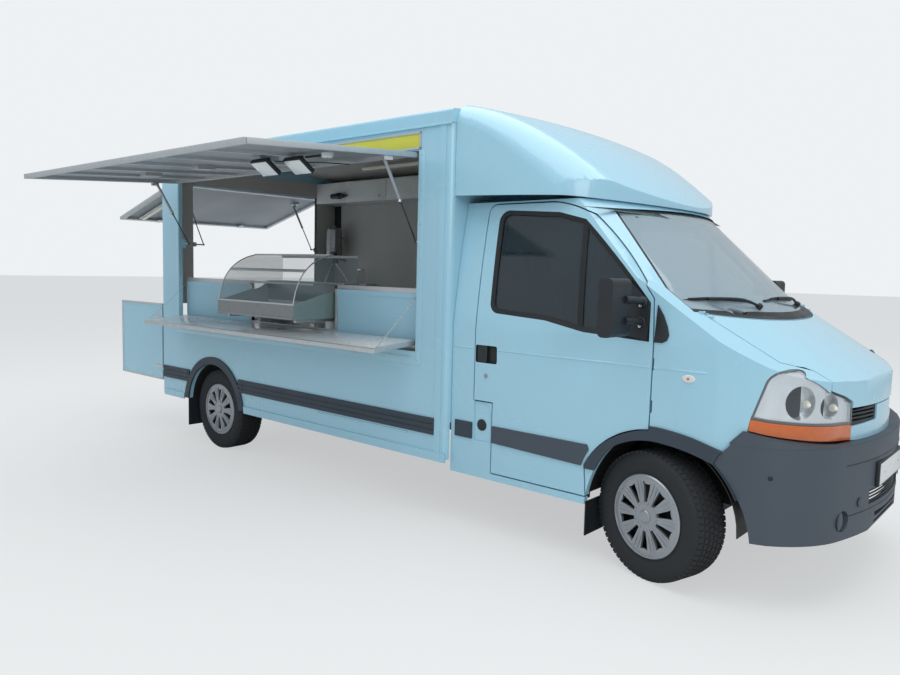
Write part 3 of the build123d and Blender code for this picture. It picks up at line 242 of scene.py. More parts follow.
# Clear moulded polycarbonate over vacuum-plated bowls
finish("lamp_lens", "#C3CED4", 0.03, coat=1.0, alpha=0.07)
finish("plated_bowl", "#E9EDF0", 0.2, metallic=0.55, tint=("#D3D9DD", 60.0))
finish("amber_lens", "#DB6A18", 0.12, coat=0.8, tint=("#C05812", 30.0))
finish("red_lens", "#A01A16", 0.15, coat=0.6, tint=("#8C1612", 25.0))
finish("white_plate", "#DADCDC", 0.35, tint=("#D2D4D4", 60.0))
finish("bulb_glass", "#F4F2E6", 0.2, tint=("#ECE9DA", 20.0))

# Working helpers
bodyOf = {}
for bodyName, members in frame["record"]["behaviour"]["bodies"].items():
    for member in members:
        bodyOf[member] = bodyName


def choose(*things):
    bpy.ops.object.select_all(action="DESELECT")
    for thing in things:
        thing.select_set(True)
    bpy.context.view_layer.objects.active = things[0]


def modify(thing, kind, **settings):
    choose(thing)
    made = thing.modifiers.new(kind.lower(), kind)
    for key, value in settings.items():
        setattr(made, key, value)
    bpy.ops.object.modifier_apply(modifier=made.name)


# Settles a finished piece: place into the mesh, name, finish, shading and body (none where it is blended)
def complete(thing, name, finishName, body, angle=35.0):
    choose(thing)
    bpy.ops.object.transform_apply(location=True, rotation=True, scale=True)
    thing.name = name
    thing.data.name = name
    thing.data.materials.clear()
    thing.data.materials.append(finishes[finishName])
    bpy.ops.object.shade_smooth_by_angle(angle=math.radians(angle))
    if body:
        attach(thing, body)
    return thing


# Merged copy of a CAD node, free to be dressed
def copyNode(node, flat=0.4):
    choose(nodes[node])
    bpy.ops.object.duplicate()
    piece = bpy.context.object
    piece.parent = None
    for key in list(piece.keys()):
        del piece[key]
    if piece.data.has_custom_normals:
        bpy.ops.mesh.customdata_custom_splitnormals_clear()
    bpy.ops.object.mode_set(mode="EDIT")
    bpy.ops.mesh.select_all(action="SELECT")
    bpy.ops.mesh.remove_doubles(threshold=0.00003)
    if flat:
        bpy.ops.mesh.dissolve_limited(angle_limit=math.radians(flat))
    bpy.ops.object.mode_set(mode="OBJECT")
    return piece


def bevelled(piece, width, segments=2, angle=38.0):
    if width:
        modify(piece, "BEVEL", width=width, segments=segments, limit_method="ANGLE",
               angle_limit=math.radians(angle), use_clamp_overlap=True, harden_normals=False)
    return piece


keptTriangles = ("box_side_left", "case_base")    # their flats tear when they are merged to one face


def dress(node, finishName, bevel=0.0, angle=32.0):
    piece = bevelled(copyNode(node, 0.0 if node in keptTriangles else 0.4), bevel)
    complete(piece, node + "_skin", finishName, bodyOf[node], angle)
    if bevel:
        modify(piece, "WEIGHTED_NORMAL", keep_sharp=True, weight=50)
    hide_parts(node)
    return piece


# Gives the faces that pass the test another finish
def paintFaces(piece, finishName, test):
    piece.data.materials.append(finishes[finishName])
    index = len(piece.data.materials) - 1
    for face in piece.data.polygons:
        if test(face.center, face.normal):
            face.material_index = index


# Block with softened edges; turn is in degrees about X, Y and Z
def bar(name, finishName, body, size, place, turn=(0, 0, 0), bevel=0.002, segments=2):
    bpy.ops.object.select_all(action="DESELECT")
    bpy.ops.mesh.primitive_cube_add(size=1, location=place, rotation=[math.radians(v) for v in turn])
    piece = bpy.context.object
    piece.scale = size
    bpy.ops.object.transform_apply(location=False, rotation=False, scale=True)
    bevelled(piece, min(bevel, min(size) * 0.45), segments)
    return complete(piece, name, finishName, body)


# Round turned piece; rows are (distance along the axis, radius)
def turnedPiece(name, finishName, body, rows, place, axis="z", sides=32, angle=35.0, turn=None, ring=False):
    bpy.ops.object.select_all(action="DESELECT")
    bpy.ops.mesh.primitive_circle_add(vertices=sides, radius=max(rows[0][1], 0.0001),
                                      fill_type="NOTHING" if ring else "NGON", location=(0, 0, rows[0][0]))
    piece = bpy.context.object
    bpy.ops.object.transform_apply(location=True, rotation=False, scale=False)
    bpy.ops.object.mode_set(mode="EDIT")
    bpy.ops.mesh.select_all(action="SELECT")
    extrude = bpy.ops.mesh.extrude_edges_move if ring else bpy.ops.mesh.extrude_region_move
    for before, after in zip(rows, rows[1:]):
        extrude(TRANSFORM_OT_translate={"value": (0, 0, after[0] - before[0])})
        ratio = max(after[1], 0.0001) / max(before[1], 0.0001)
        bpy.ops.transform.resize(value=(ratio, ratio, 1), center_override=(0, 0, after[0]))
    bpy.ops.mesh.select_all(action="SELECT")
    bpy.ops.mesh.remove_doubles(threshold=0.00001)
    bpy.ops.mesh.normals_make_consistent(inside=False)
    bpy.ops.object.mode_set(mode="OBJECT")
    turns = {"z": (0, 0, 0), "x": (0, math.pi / 2, 0), "y": (-math.pi / 2, 0, 0), "-y": (math.pi / 2, 0, 0),
             "-x": (0, -math.pi / 2, 0), "-z": (math.pi, 0, 0)}
    piece.rotation_euler = [math.radians(v) for v in turn] if turn else turns[axis]
    piece.location = place
    return complete(piece, name, finishName, body, angle)


# Smooth tube along a few points
def tube(name, finishName, body, points, radius, bend=True, sides=3):
    curve = bpy.data.curves.new(name, "CURVE")
    curve.dimensions = "3D"
    curve.bevel_depth = radius
    curve.bevel_resolution = sides
    curve.resolution_u = 10
    curve.use_fill_caps = True
    spline = curve.splines.new("NURBS" if bend else "POLY")
    spline.points.add(len(points) - 1)
    for point, place in zip(spline.points, points):
        point.co = (*place, 1)
    if bend:
        spline.order_u = 3
        spline.use_endpoint_u = True
    piece = bpy.data.objects.new(name, curve)
    bpy.context.scene.collection.objects.link(piece)
    choose(piece)
    bpy.ops.object.convert(target="MESH")
    return complete(bpy.context.object, name, finishName, body, 50)


# Flat sheet cut to an outline, laid in a plane and given a wall
def cutSheet(name, finishName, body, points, wall, bevel=0.0, holes=()):
    bpy.ops.object.select_all(action="DESELECT")
    bpy.ops.mesh.primitive_circle_add(vertices=len(points), fill_type="NGON")
    piece = bpy.context.object
    for vertex, point in zip(piece.data.vertices, points):
        vertex.co = point
    modify(piece, "SOLIDIFY", thickness=wall, offset=0.0)
    if bevel:
        bevelled(piece, bevel)
    bpy.ops.object.mode_set(mode="EDIT")
    bpy.ops.mesh.select_all(action="SELECT")
    bpy.ops.mesh.normals_make_consistent(inside=False)
    bpy.ops.object.mode_set(mode="OBJECT")
    return complete(piece, name, finishName, body)


# Closed frame between two outlines with the same number of points, given a wall both ways
def frameRing(name, finishName, body, outer, inner, wall, bevel=0.0, angle=35.0):
    count = len(outer)
    bpy.ops.object.select_all(action="DESELECT")
    bpy.ops.mesh.primitive_circle_add(vertices=count, radius=1, fill_type="NOTHING")
    piece = bpy.context.object
    bpy.ops.object.mode_set(mode="EDIT")
    bpy.ops.mesh.select_all(action="SELECT")
    bpy.ops.mesh.extrude_edges_move()
    bpy.ops.object.mode_set(mode="OBJECT")
    for index in range(count):
        piece.data.vertices[index].co = outer[index]
        piece.data.vertices[index + count].co = inner[index]
    modify(piece, "SOLIDIFY", thickness=wall, offset=0.0)
    bevelled(piece, bevel)
    bpy.ops.object.mode_set(mode="EDIT")
    bpy.ops.mesh.select_all(action="SELECT")
    bpy.ops.mesh.normals_make_consistent(inside=False)
    bpy.ops.object.mode_set(mode="OBJECT")
    return complete(piece, name, finishName, body, angle)


# Joins pieces of one body and finish into one piece
def joined(name, pieces):
    choose(*pieces)
    bpy.ops.object.join()
    piece = bpy.context.object
    piece.name = name
    piece.data.name = name
    return piece


# Evenly rounds an outline's corners: (u, v, radius) rows to points
def roundedOutline(rows, steps=6):
    points = []
    count = len(rows)
    for index, row in enumerate(rows):
        corner = Vector(row[:2])
        radius = row[2] if len(row) > 2 else 0.0
        if not radius:
            points.append(tuple(corner))
            continue
        before = Vector(rows[index - 1][:2]) - corner
        after = Vector(rows[(index + 1) % count][:2]) - corner
        half = before.angle(after) / 2
        reach = min(radius / math.tan(half), before.length * 0.48, after.length * 0.48)
        start = corner + before.normalized() * reach
        end = corner + after.normalized() * reach
        for step in range(steps + 1):
            t = step / steps
            points.append(tuple(start * (1 - t) ** 2 + corner * 2 * t * (1 - t) + end * t ** 2))
    return points


# Moves an outline inwards by a distance (for an outline of either turn)
def drawnIn(points, distance):
    count = len(points)
    area = sum(points[i - 1][0] * points[i][1] - points[i][0] * points[i - 1][1] for i in range(count))
    sign = 1.0 if area > 0 else -1.0
    moved = []
    for index in range(count):
        here = Vector(points[index])
        before = (here - Vector(points[index - 1])).normalized()
        after = (Vector(points[(index + 1) % count]) - here).normalized()
        normals = [Vector((-edge.y, edge.x)) * sign for edge in (before, after)]
        middle = (normals[0] + normals[1]).normalized()
        stretch = max(middle.dot(normals[0]), 0.5)
        moved.append(tuple(here + middle * distance / stretch))
    return moved


# Plain nodes that keep their shape
plain = {
    "chassis_black": ("chassis_frame", "rear_axle", "knuckle_left", "knuckle_right"),
    "cast_alloy": ("engine_block",),
    "plywood_floor": ("box_floor",),
}
for finishName, members in plain.items():
    for member in members:
        nodes[member].data.materials.clear()
        nodes[member].data.materials.append(finishes[finishName])

# Dressed nodes: edges softened and curves shaded
dressed = {
    "aqua_enamel": (("cab_shell", 0.0015), ("bonnet", 0.003), ("door_left", 0.002), ("door_right", 0.002),
                    ("roof_fairing", 0.012), ("box_side_left", 0.002), ("box_side_right", 0.002),
                    ("box_front", 0.001), ("box_rear_frame", 0.002), ("box_roof", 0.004),
                    ("serving_flap", 0.0015), ("rear_flap", 0.002), ("rear_door", 0.003)),
    "grained_polypropylene": (("front_bumper", 0.006),),
    "strip_polypropylene": (("body_trims", 0.003),),
    "black_polypropylene": (("mirror_left", 0.004), ("mirror_right", 0.004), ("steering_wheel", 0.003)),
    "screen_glass": (("windscreen", 0.0),),
    "tinted_glass": (("door_glass_left", 0.0), ("door_glass_right", 0.0)),
    "clear_glass": (("case_glass", 0.001),),
    "dashboard_plastic": (("dashboard", 0.006),),
    "anodised_aluminium": (("counter", 0.0015), ("counter_frame", 0.001)),
    "white_powder": (("case_base", 0.003),),
    "white_laminate": (("interior_fittings", 0.003),),
    "silver_lacquer": tuple((name, 0.0015) for name in nodes if name.startswith("rim_"))
    + (("flap_strut_tubes", 0.001), ("rear_strut_tubes", 0.001)),
    "cylinder_black": (("flap_strut_rods", 0.0005), ("rear_strut_rods", 0.0005)),
    "woven_seat_cloth": (("seats", 0.02),),
}
skins = {}
for finishName, members in dressed.items():
    for member, width in members:
        skins[member] = dress(member, finishName, width)
        print("dressed", member, len(skins[member].data.polygons))

# Outlines and skins that trims follow
skin = {"half": 0.985, "belt": 1.25, "lean": 0.122, "bulge": 0.048, "rise": 0.776}
screen = {"foot": 0.6758, "slope": 1.08738, "footZ": 1.1, "round": 1.6036, "glass": 0.021}
nose = {"front": 0.838, "round": 1.5654}
bumper = {"front": 0.886, "round": 2.136}


def sideAt(z):
    t = max(0.0, (z - skin["belt"]) / skin["rise"])
    return skin["half"] - skin["lean"] * t + skin["bulge"] * t * (1 - t)


def screenAt(y, z):
    bow = screen["round"] - math.sqrt(screen["round"] ** 2 - y * y)
    return screen["foot"] - screen["slope"] * (z - screen["footZ"]) - bow


def bowedAt(form, y):
    return form["front"] - form["round"] + math.sqrt(form["round"] ** 2 - y * y)


# Closed outline from rows of (u, v) or (u, v, outward bulge of the edge that ends there), in millimetres
def outlineOf(rows, steps=10, longest=0.08):
    points = []
    for index, row in enumerate(rows):
        start, end = Vector(rows[index - 1][:2]) / 1000, Vector(row[:2]) / 1000
        bulge = row[2] / 1000 if len(row) == 3 else 0.0
        edge = end - start
        side = Vector((edge.y, -edge.x)).normalized()
        count = steps if bulge else max(1, int(edge.length / longest))
        for step in range(1, count + 1):
            t = step / count
            points.append(tuple(start + edge * t + side * bulge * 4 * t * (1 - t)))
    return points


def inside(points, u, v):
    hit = False
    for (au, av), (bu, bv) in zip(points, points[1:] + points[:1]):
        if (av > v) != (bv > v) and u < au + (v - av) / (bv - av) * (bu - au):
            hit = not hit
    return hit


def onSide(points, side, depth):
    return [(x, side * (sideAt(z) - depth), z) for x, z in points]


# Turning matrix about a line, for pieces drawn closed on a part that stands open
def swingOf(centre, axis, degrees):
    there = Matrix.Translation(centre)
    return there @ Matrix.Rotation(math.radians(degrees), 4, axis) @ there.inverted()


def swung(piece, turn):
    piece.data.transform(turn)
    return piece


def copied(piece, name, turn, body=None):
    choose(piece)
    bpy.ops.object.duplicate()
    twin = bpy.context.object
    twin.name = name
    twin.data.name = name
    twin.data.transform(turn)
    if turn.determinant() < 0:
        twin.data.flip_normals()
    if body:
        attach(twin, body)
    return twin


# Several copies of one small piece, joined
def repeated(name, piece, places):
    start = Vector(places[0])
    twins = [piece]
    for index, place in enumerate(places[1:]):
        twins.append(copied(piece, name + str(index), Matrix.Translation(Vector(place) - start)))
    return joined(name, twins)


# Strip of sheet between two rows of points
def ribbon(name, finishName, body, rowA, rowB, wall, angle=35.0):
    count = len(rowA)
    bpy.ops.object.select_all(action="DESELECT")
    bpy.ops.mesh.primitive_grid_add(x_subdivisions=count - 1, y_subdivisions=1, size=1)
    piece = bpy.context.object
    for index in range(count):
        piece.data.vertices[index].co = rowA[index]
        piece.data.vertices[index + count].co = rowB[index]
    modify(piece, "SOLIDIFY", thickness=wall, offset=0.0)
    bpy.ops.object.mode_set(mode="EDIT")
    bpy.ops.mesh.select_all(action="SELECT")
    bpy.ops.mesh.normals_make_consistent(inside=False)
    bpy.ops.object.mode_set(mode="OBJECT")
    return complete(piece, name, finishName, body, angle)


flapTurn = swingOf((0, -1.036, 2.352), "X", -86)
rearTurn = swingOf((-4.961, 0, 2.372), "Y", 74.5)
doorTurn = swingOf((-4.967, -1.022, 0), "Z", 90)
counterTurn = swingOf((0, -0.979, 1.128), "X", 5)
sides = ((1, "left"), (-1, "right"))

# Second finishes on the dressed nodes
windowRows = ((-1050, 1352, 20), (-712, 1332), (-456, 1284), (-62, 1262), (-72, 1462), (-517, 1906, 10),
              (-700, 1951), (-1050, 1972), (-1122, 1900, 22), (-1112, 1420))
handleRows = ((-1202, 1060), (-1190, 1046, 4), (-1052, 1046), (-1038, 1060, 4), (-1040, 1142),
              (-1054, 1154, 4), (-1190, 1154), (-1202, 1142, 4))
windowLine = outlineOf(windowRows)
windowReach = drawnIn(windowLine, -0.001)
handleReach = drawnIn(outlineOf(handleRows), -0.001)
opening = {"x0": -4.635, "x1": -1.675, "z0": 1.07, "z1": 2.356, "wall": 1.03}


def openingJamb(c, n):
    near = opening["x0"] - 0.004 < c.x < opening["x1"] + 0.004 and opening["z0"] - 0.004 < c.z < opening["z1"] + 0.004
    return near and -1.029 < c.y < -0.994 and abs(n.y) < 0.5


def windowEdge(c, n):
    return inside(windowReach, c.x, c.z) and abs(c.y) < sideAt(c.z) - 0.0005


def handleEdge(c, n):
    return inside(handleReach, c.x, c.z) and abs(c.y) < sideAt(c.z) - 0.0004 and abs(c.y) > 0.96


def innerFace(c, n):
    sign = 1 if c.y > 0 else -1
    return abs(c.y) < sideAt(c.z) - 0.03 and (n.y * sign < -0.25 or n.z < -0.4 or n.x < -0.4 or c.z < 0.75)


def innerCab(c, n):
    return abs(c.y) < sideAt(c.z) - 0.03 and n.y * c.y < -0.02 * abs(c.y) and c.x < 0.3


flapBack = flapTurn.inverted()
rearBack = rearTurn.inverted()
seconds = (
    ("cab_shell", "cab_trim", lambda c, n: c.x < -0.02 and innerFace(c, n)),
    ("cab_shell", "chassis_black", lambda c, n: c.z < 0.8 and abs(c.y) < 0.94 and c.x > -1.3),
    ("cab_shell", "black_polypropylene",
     lambda c, n: n.z > 0.35 and 1.36 < c.z < 1.44 and abs(c.y) < 0.82 and c.x > 0.06),
    ("door_left", "cab_trim", innerCab), ("door_right", "cab_trim", innerCab),
    ("door_left", "window_rubber", windowEdge), ("door_right", "window_rubber", windowEdge),
    ("door_left", "black_polypropylene", handleEdge), ("door_right", "black_polypropylene", handleEdge),
    ("door_left", "grained_polypropylene", lambda c, n: abs(c.y) > 0.9856 and 0.54 < c.z < 0.675),
    ("door_right", "grained_polypropylene", lambda c, n: abs(c.y) > 0.9856 and 0.54 < c.z < 0.675),
    ("box_side_left", "grey_lining", lambda c, n: n.y < -0.5 and c.y < 1.0),
    ("box_side_right", "grey_lining", lambda c, n: n.y > 0.5 and c.y > -1.0),
    ("box_side_right", "anodised_aluminium", openingJamb),
    ("box_front", "grey_lining", lambda c, n: n.x < -0.5),
    ("box_rear_frame", "grey_lining", lambda c, n: n.x > 0.5),
    ("box_rear_frame", "black_polypropylene",
     lambda c, n: 1.23 < c.z < 2.45 and abs(c.y) < 0.96 and (n.y * c.y < -0.5 * abs(c.y) or n.z < -0.7)),
    ("box_roof", "grey_lining", lambda c, n: n.z < -0.5 and abs(c.y) < 0.992),
    ("box_roof", "grey_lining", lambda c, n: abs(c.y) < 1.0 and n.y * c.y < -0.5 * abs(c.y)),
    ("serving_flap", "anodised_aluminium", lambda c, n: (flapBack @ c).y > -1.0292 or n.z < 0.7),
    ("serving_flap", "flap_liner", lambda c, n: n.z < -0.7 and (flapBack @ c).y < -1.02),
    ("rear_flap", "anodised_aluminium", lambda c, n: (rearBack @ c).x > -4.9588),
    ("rear_flap", "flap_liner", lambda c, n: (rearBack @ c).x > -4.958 and (rearBack @ c).x < -4.95),
    ("rear_door", "anodised_aluminium", lambda c, n: abs(n.y) < 0.5),
    ("rear_door", "grey_lining", lambda c, n: n.y > 0.5),
    ("counter_frame", "aqua_panel", lambda c, n: n.y < -0.5 and -0.957 < c.y < -0.945 and c.z > 1.12),
    ("counter_frame", "white_laminate", lambda c, n: c.y > -0.9305),
    ("case_base", "brushed_steel", lambda c, n: c.z < 1.335 and c.y < -0.84),
    ("case_base", "end_plate", lambda c, n: abs(n.x) > 0.5 and c.z > 1.23 and abs(c.x + 3.09) > 0.46),
    ("case_base", "anodised_aluminium", lambda c, n: c.z < 1.2242),
    ("dashboard", "black_polypropylene", lambda c, n: c.x < -0.24),
    ("body_trims", "black_polypropylene", lambda c, n: c.x > 0.6 and 0.86 < c.z < 0.975),
    ("body_trims", "black_polypropylene", lambda c, n: c.z < 0.345),
    ("body_trims", "aqua_enamel", lambda c, n: -1.21 < c.x < -1.06 and 0.55 < c.z < 0.81 and abs(c.y) < 0.984),
)

for node, finishName, test in seconds:
    paintFaces(skins[node], finishName, test)
print("second finishes painted")


# Splits a skin into its loose solids
def loose(piece):
    choose(piece)
    bpy.ops.object.mode_set(mode="EDIT")
    bpy.ops.mesh.select_all(action="SELECT")
    bpy.ops.mesh.separate(type="LOOSE")
    bpy.ops.object.mode_set(mode="OBJECT")
    return list(bpy.context.selected_objects)


def volumeOf(piece):
    shape = bmesh.new()
    shape.from_mesh(piece.data)
    volume = shape.calc_volume()
    shape.free()
    return volume


# Dark border on the side of a pane or lens that the test picks
def bordered(piece, finishName, width, test):
    piece.data.materials.append(finishes[finishName])
    index = len(piece.data.materials) - 1
    choose(piece)
    for face in piece.data.polygons:
        face.select = test(face.center, face.normal)
    for edge in piece.data.edges:
        edge.select = False
    for vertex in piece.data.vertices:
        vertex.select = False
    bpy.ops.object.mode_set(mode="EDIT")
    bpy.ops.mesh.select_mode(type="FACE")
    bpy.ops.mesh.inset(thickness=width, use_boundary=True, use_select_inset=True)
    piece.active_material_index = index
    bpy.ops.object.material_slot_assign()
    bpy.ops.object.mode_set(mode="OBJECT")
    return piece


# Head and side lamps: clear lens with a grey border, plated bowls and an amber strip
lampPieces = {"borderWidth": 0.011, "bulbs": ((0.655, 0.735, 1.0), (0.735, 0.575, 0.975))}
solids = loose(copyNode("lamps"))
fronts = [piece for piece in solids if sum(v.co.x for v in piece.data.vertices) > 0]
for piece in solids:
    low = [min(v.co[i] for v in piece.data.vertices) for i in range(3)]
    high = [max(v.co[i] for v in piece.data.vertices) for i in range(3)]
    side = "left" if low[1] > 0 else "right"
    if piece not in fronts:
        complete(bevelled(piece, 0.004), "rear_lamp_" + side, "red_lens", "chassis")
    elif high[2] < 0.96:
        complete(piece, "indicator_" + side, "amber_lens", "chassis")
    elif volumeOf(piece) < 0.0009:
        complete(piece, "lamp_lens_" + side, "lamp_lens", "chassis", 40)
        sign = 1 if side == "left" else -1
        bordered(piece, "lamp_border", lampPieces["borderWidth"],
                 lambda c, n: n.x * 0.7 + n.y * sign * 0.7 + n.z * 0.4 > 0.45)
    else:
        complete(piece, "lamp_bowl_" + side, "plated_bowl", "chassis", 40)
    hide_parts("lamps")
for sign, side in sides:
    for index, (x, y, z) in enumerate(lampPieces["bulbs"]):
        turnedPiece("bulb_%s_%d" % (side, index), "bulb_glass", "chassis",
                    ((0, 0.019), (0.006, 0.021), (0.02, 0.016), (0.032, 0.009), (0.036, 0.0)),
                    (x - 0.02, sign * (y - 0.02), z), turn=(0, 90, sign * 45), sides=24)
print("lamps made")

# Windscreen edge and screen wipers
bordered(skins["windscreen"], "window_rubber", 0.03, lambda c, n: n.x > 0.2)
bordered(skins["windscreen"], "window_rubber", 0.03, lambda c, n: n.x < -0.2)
wiper = {"pivots": (-0.34, 0.3), "reach": 0.56, "arm": 0.0075, "blade": 0.006, "footZ": 1.438}


def onScreen(y, z, lift):
    return (screenAt(y, z) - screen["glass"] + lift, y, z + lift * 0.6)


for index, y in enumerate(wiper["pivots"]):
    pivot = onScreen(y, wiper["footZ"], 0.012)
    tip = y - wiper["reach"]
    arm = [pivot, onScreen(y - 0.09, 1.462, 0.034), onScreen(y - 0.24, 1.474, 0.03),
           onScreen(y - 0.34, 1.476, 0.018)]
    tube("wiper_arm_%d" % index, "black_polypropylene", "chassis", arm, wiper["arm"])
    turnedPiece("wiper_boss_%d" % index, "black_polypropylene", "chassis",
                ((-0.012, 0.017), (0.01, 0.017), (0.018, 0.012), (0.02, 0.0)), pivot, turn=(0, 42, 0), sides=24)
    blade = [onScreen(y - 0.02 - 0.5 * step / 8, 1.468 + 0.012 * math.sin(step / 8 * 3.0), 0.008)
             for step in range(9)]
    tube("wiper_blade_%d" % index, "window_rubber", "chassis", blade, wiper["blade"])
    spine = [(x + 0.01, yy, z + 0.009) for x, yy, z in blade[1:-1]]
    tube("wiper_spine_%d" % index, "black_polypropylene", "chassis", spine, 0.0035)

# Door window rubbers, handles, locks and the pressed crease
doorBits = {"rubber": 0.026, "creaseZ": 1.133, "lock": (-1.118, 0.968)}
for sign, side in sides:
    body = "door_" + side
    line = windowLine
    frameRing("window_rubber_" + side, "window_rubber", body, onSide(line, sign, 0.003),
              onSide(drawnIn(line, doorBits["rubber"]), sign, 0.0105), 0.006, angle=40)
    for name, x0, x1, owner in (("rear", -1.382, -1.216, "chassis"), ("door", -1.03, -0.052, body),
                                ("wing", -0.03, 0.25, "chassis")):
        bar("crease_%s_%s" % (name, side), "aqua_enamel", owner, (x1 - x0, 0.006, 0.012),
            ((x0 + x1) / 2, sign * 0.984, doorBits["creaseZ"]), turn=(sign * 20, 0, 0), bevel=0.0025)
    bar("handle_grip_" + side, "black_polypropylene", body, (0.07, 0.012, 0.1),
        (-1.152, sign * 0.979, 1.1), bevel=0.005, segments=3)
    bar("handle_slot_" + side, "window_rubber", body, (0.05, 0.004, 0.085), (-1.082, sign * 0.967, 1.1), bevel=0.0015)
    turnedPiece("door_lock_" + side, "silver_lacquer", body,
                ((0, 0.014), (0.003, 0.014), (0.0045, 0.011), (0.0045, 0.004), (0.002, 0.003), (0.002, 0)),
                (doorBits["lock"][0], sign * 0.9845, doorBits["lock"][1]), axis="y" if sign > 0 else "-y")
    repeater = turnedPiece("side_repeater_" + side, "white_powder", "chassis",
                           ((0, 0.021), (0.004, 0.021), (0.008, 0.017), (0.009, 0.006), (0.006, 0.005), (0.006, 0)),
                           (0, 0, 0), axis="y" if sign > 0 else "-y")
    swung(repeater, Matrix.Translation((0.159, sign * 0.984, 1.095)) @ Matrix.Diagonal((1.7, 1, 1, 1)))
    turnedPiece("repeater_bulb_" + side, "amber_lens", "chassis", ((0, 0.006), (0.003, 0.005), (0.004, 0)),
                (0.159, sign * 0.99, 1.095), axis="y" if sign > 0 else "-y", sides=20)
    turnedPiece("filler_cap_" + side, "black_polypropylene", "chassis",
                ((0, 0.036), (0.006, 0.036), (0.008, 0.033), (0.008, 0.016), (0.011, 0.014), (0.011, 0)),
                (-1.145, sign * 0.974, 0.66), axis="y" if sign > 0 else "-y")
    corner = ((-0.032, 1.262), (0.012, 1.262), (0.036, 1.276), (0.045, 1.302), (0.034, 1.345), (0.008, 1.402),
              (-0.03, 1.456))
    cutSheet("wing_corner_" + side, "black_polypropylene", "chassis",
             [(x, sign * (sideAt(z) + 0.004), z) for x, z in corner], 0.01, bevel=0.003)

# Door mirrors: glass, tapered arms, their mounts and bolts
mirror = {"glass": (0.004, 0.158, 0.258), "arms": (1.372, 1.478), "joint": 0.02}
for sign, side in sides:
    body = "door_" + side
    bar("mirror_glass_" + side, "mirror_glass", body, mirror["glass"], (-0.1915, sign * 1.2, 1.438), bevel=0.0018)
    for index, z in enumerate(mirror["arms"]):
        arm = [(-0.108, sign * 1.172, z + 0.002), (-0.104, sign * 1.1, z), (-0.108, sign * 1.02, z - 0.006),
               (-0.114, sign * 0.975, z - 0.012)]
        tube("mirror_arm_%s_%d" % (side, index), "black_polypropylene", body, arm, 0.0185, sides=5)
        turnedPiece("mirror_mount_%s_%d" % (side, index), "black_polypropylene", body,
                    ((0, 0.03), (0.018, 0.03), (0.026, 0.024), (0.028, 0.0)), (-0.116, sign * 0.962, z - 0.014),
                    axis="y" if sign > 0 else "-y", sides=28)
        turnedPiece("mirror_bolt_%s_%d" % (side, index), "hard_chrome", body,
                    ((0, 0.008), (0.004, 0.008), (0.006, 0.005), (0.006, 0)), (-0.116, sign * 0.99, z - 0.032),
                    axis="y" if sign > 0 else "-y", sides=12)
print("cab trims made")

# Bumper: painted shadow lines along its seams, fog lamps, grilles, tow cover, bolts and the bare plate on its holder
front = {"seams": (0.702, 0.446), "seamShadowWidth": 0.0022, "fog": (0.812, 0.597, 0.428), "plateZ": 0.615}


def bumperPath(z, lift):
    return [(bowedAt(bumper, y) + lift, y, z) for y in [v / 100 for v in range(-58, 59, 4)]]


# Each seam is a thin black rubber tube laid on the bumper face: painted shadow for the gap in the seam
for index, z in enumerate(front["seams"]):
    tube("bumper_seam_shade_%d" % index, "window_rubber", "chassis", bumperPath(z, 0.0002), front["seamShadowWidth"])
for row in range(4):
    z = 0.478 + row * 0.0175
    points = [(bowedAt(bumper, y) - 0.014, y, z) for y in (-0.328, -0.2, -0.1, 0, 0.1, 0.2, 0.328)]
    tube("bumper_slat_%d" % row, "black_polypropylene", "chassis", points, 0.0048)
for sign, side in sides:
    x, y, z = front["fog"]
    turnedPiece("fog_bowl_" + side, "black_polypropylene", "chassis",
                ((-0.012, 0.012), (0.002, 0.034), (0.018, 0.045), (0.02, 0.05), (-0.02, 0.05), (-0.02, 0.012)),
                (x - 0.036, sign * y, z), axis="x")
    turnedPiece("fog_lens_" + side, "grained_polypropylene", "chassis", ((0, 0.047), (0.005, 0.04), (0.009, 0.02), (0.01, 0)),
                (x - 0.018, sign * y, z), axis="x")
    turnedPiece("tow_cover_" + side, "grained_polypropylene", "chassis",
                ((0, 0.024), (0.003, 0.024), (0.005, 0.021), (0.005, 0)), (0.8435, sign * 0.44, 0.5),
                turn=(0, 90, sign * 12))
    turnedPiece("bumper_bolt_" + side, "window_rubber", "chassis",
                ((0, 0.011), (0.003, 0.011), (0.004, 0.008), (0.001, 0.006), (0.001, 0)), (0.5605, sign * 0.9285, 0.66),
                turn=(0, 90, sign * 62), sides=20)
bar("plate_holder", "black_polypropylene", "chassis", (0.02, 0.54, 0.13), (0.8785, 0, front["plateZ"]), bevel=0.004)
bar("bare_plate", "white_plate", "chassis", (0.003, 0.52, 0.11), (0.8905, 0, front["plateZ"]), bevel=0.001)
for y in (-0.17, 0.17):
    turnedPiece("plate_screw_%s" % ("a" if y < 0 else "b"), "hard_chrome", "chassis",
                ((0, 0.006), (0.002, 0.006), (0.003, 0.004), (0.003, 0)), (0.892, y, front["plateZ"]), axis="x", sides=12)
# Top of the bumper: its side rises to the amber strip, and a ledge turns in under the nose
bumperTop = {"corner": 0.444, "high": 0.868, "low": 0.797, "fall": 0.2022, "rise": 1.07,
             "plan": ((0.384, 0.981), (0.41, 0.976), (0.444, 0.968), (0.491, 0.954), (0.526, 0.943), (0.56, 0.93),
                      (0.585, 0.914), (0.608, 0.896), (0.631, 0.878), (0.652, 0.858), (0.673, 0.837), (0.71, 0.791),
                      (0.743, 0.742), (0.769, 0.69), (0.79, 0.635), (0.8, 0.6), (0.842, 0.431), (0.872, 0.25))}


def bumperTopZ(x):
    slope = bumperTop["rise"] if x < bumperTop["corner"] else -bumperTop["fall"]
    return max(bumperTop["low"], bumperTop["high"] + (x - bumperTop["corner"]) * slope)


def bumperEdge(inset, sign, level=None):
    return [(x - inset * 0.7, sign * (y - inset), bumperTopZ(x) if level is None else level)
            for x, y in bumperTop["plan"]]


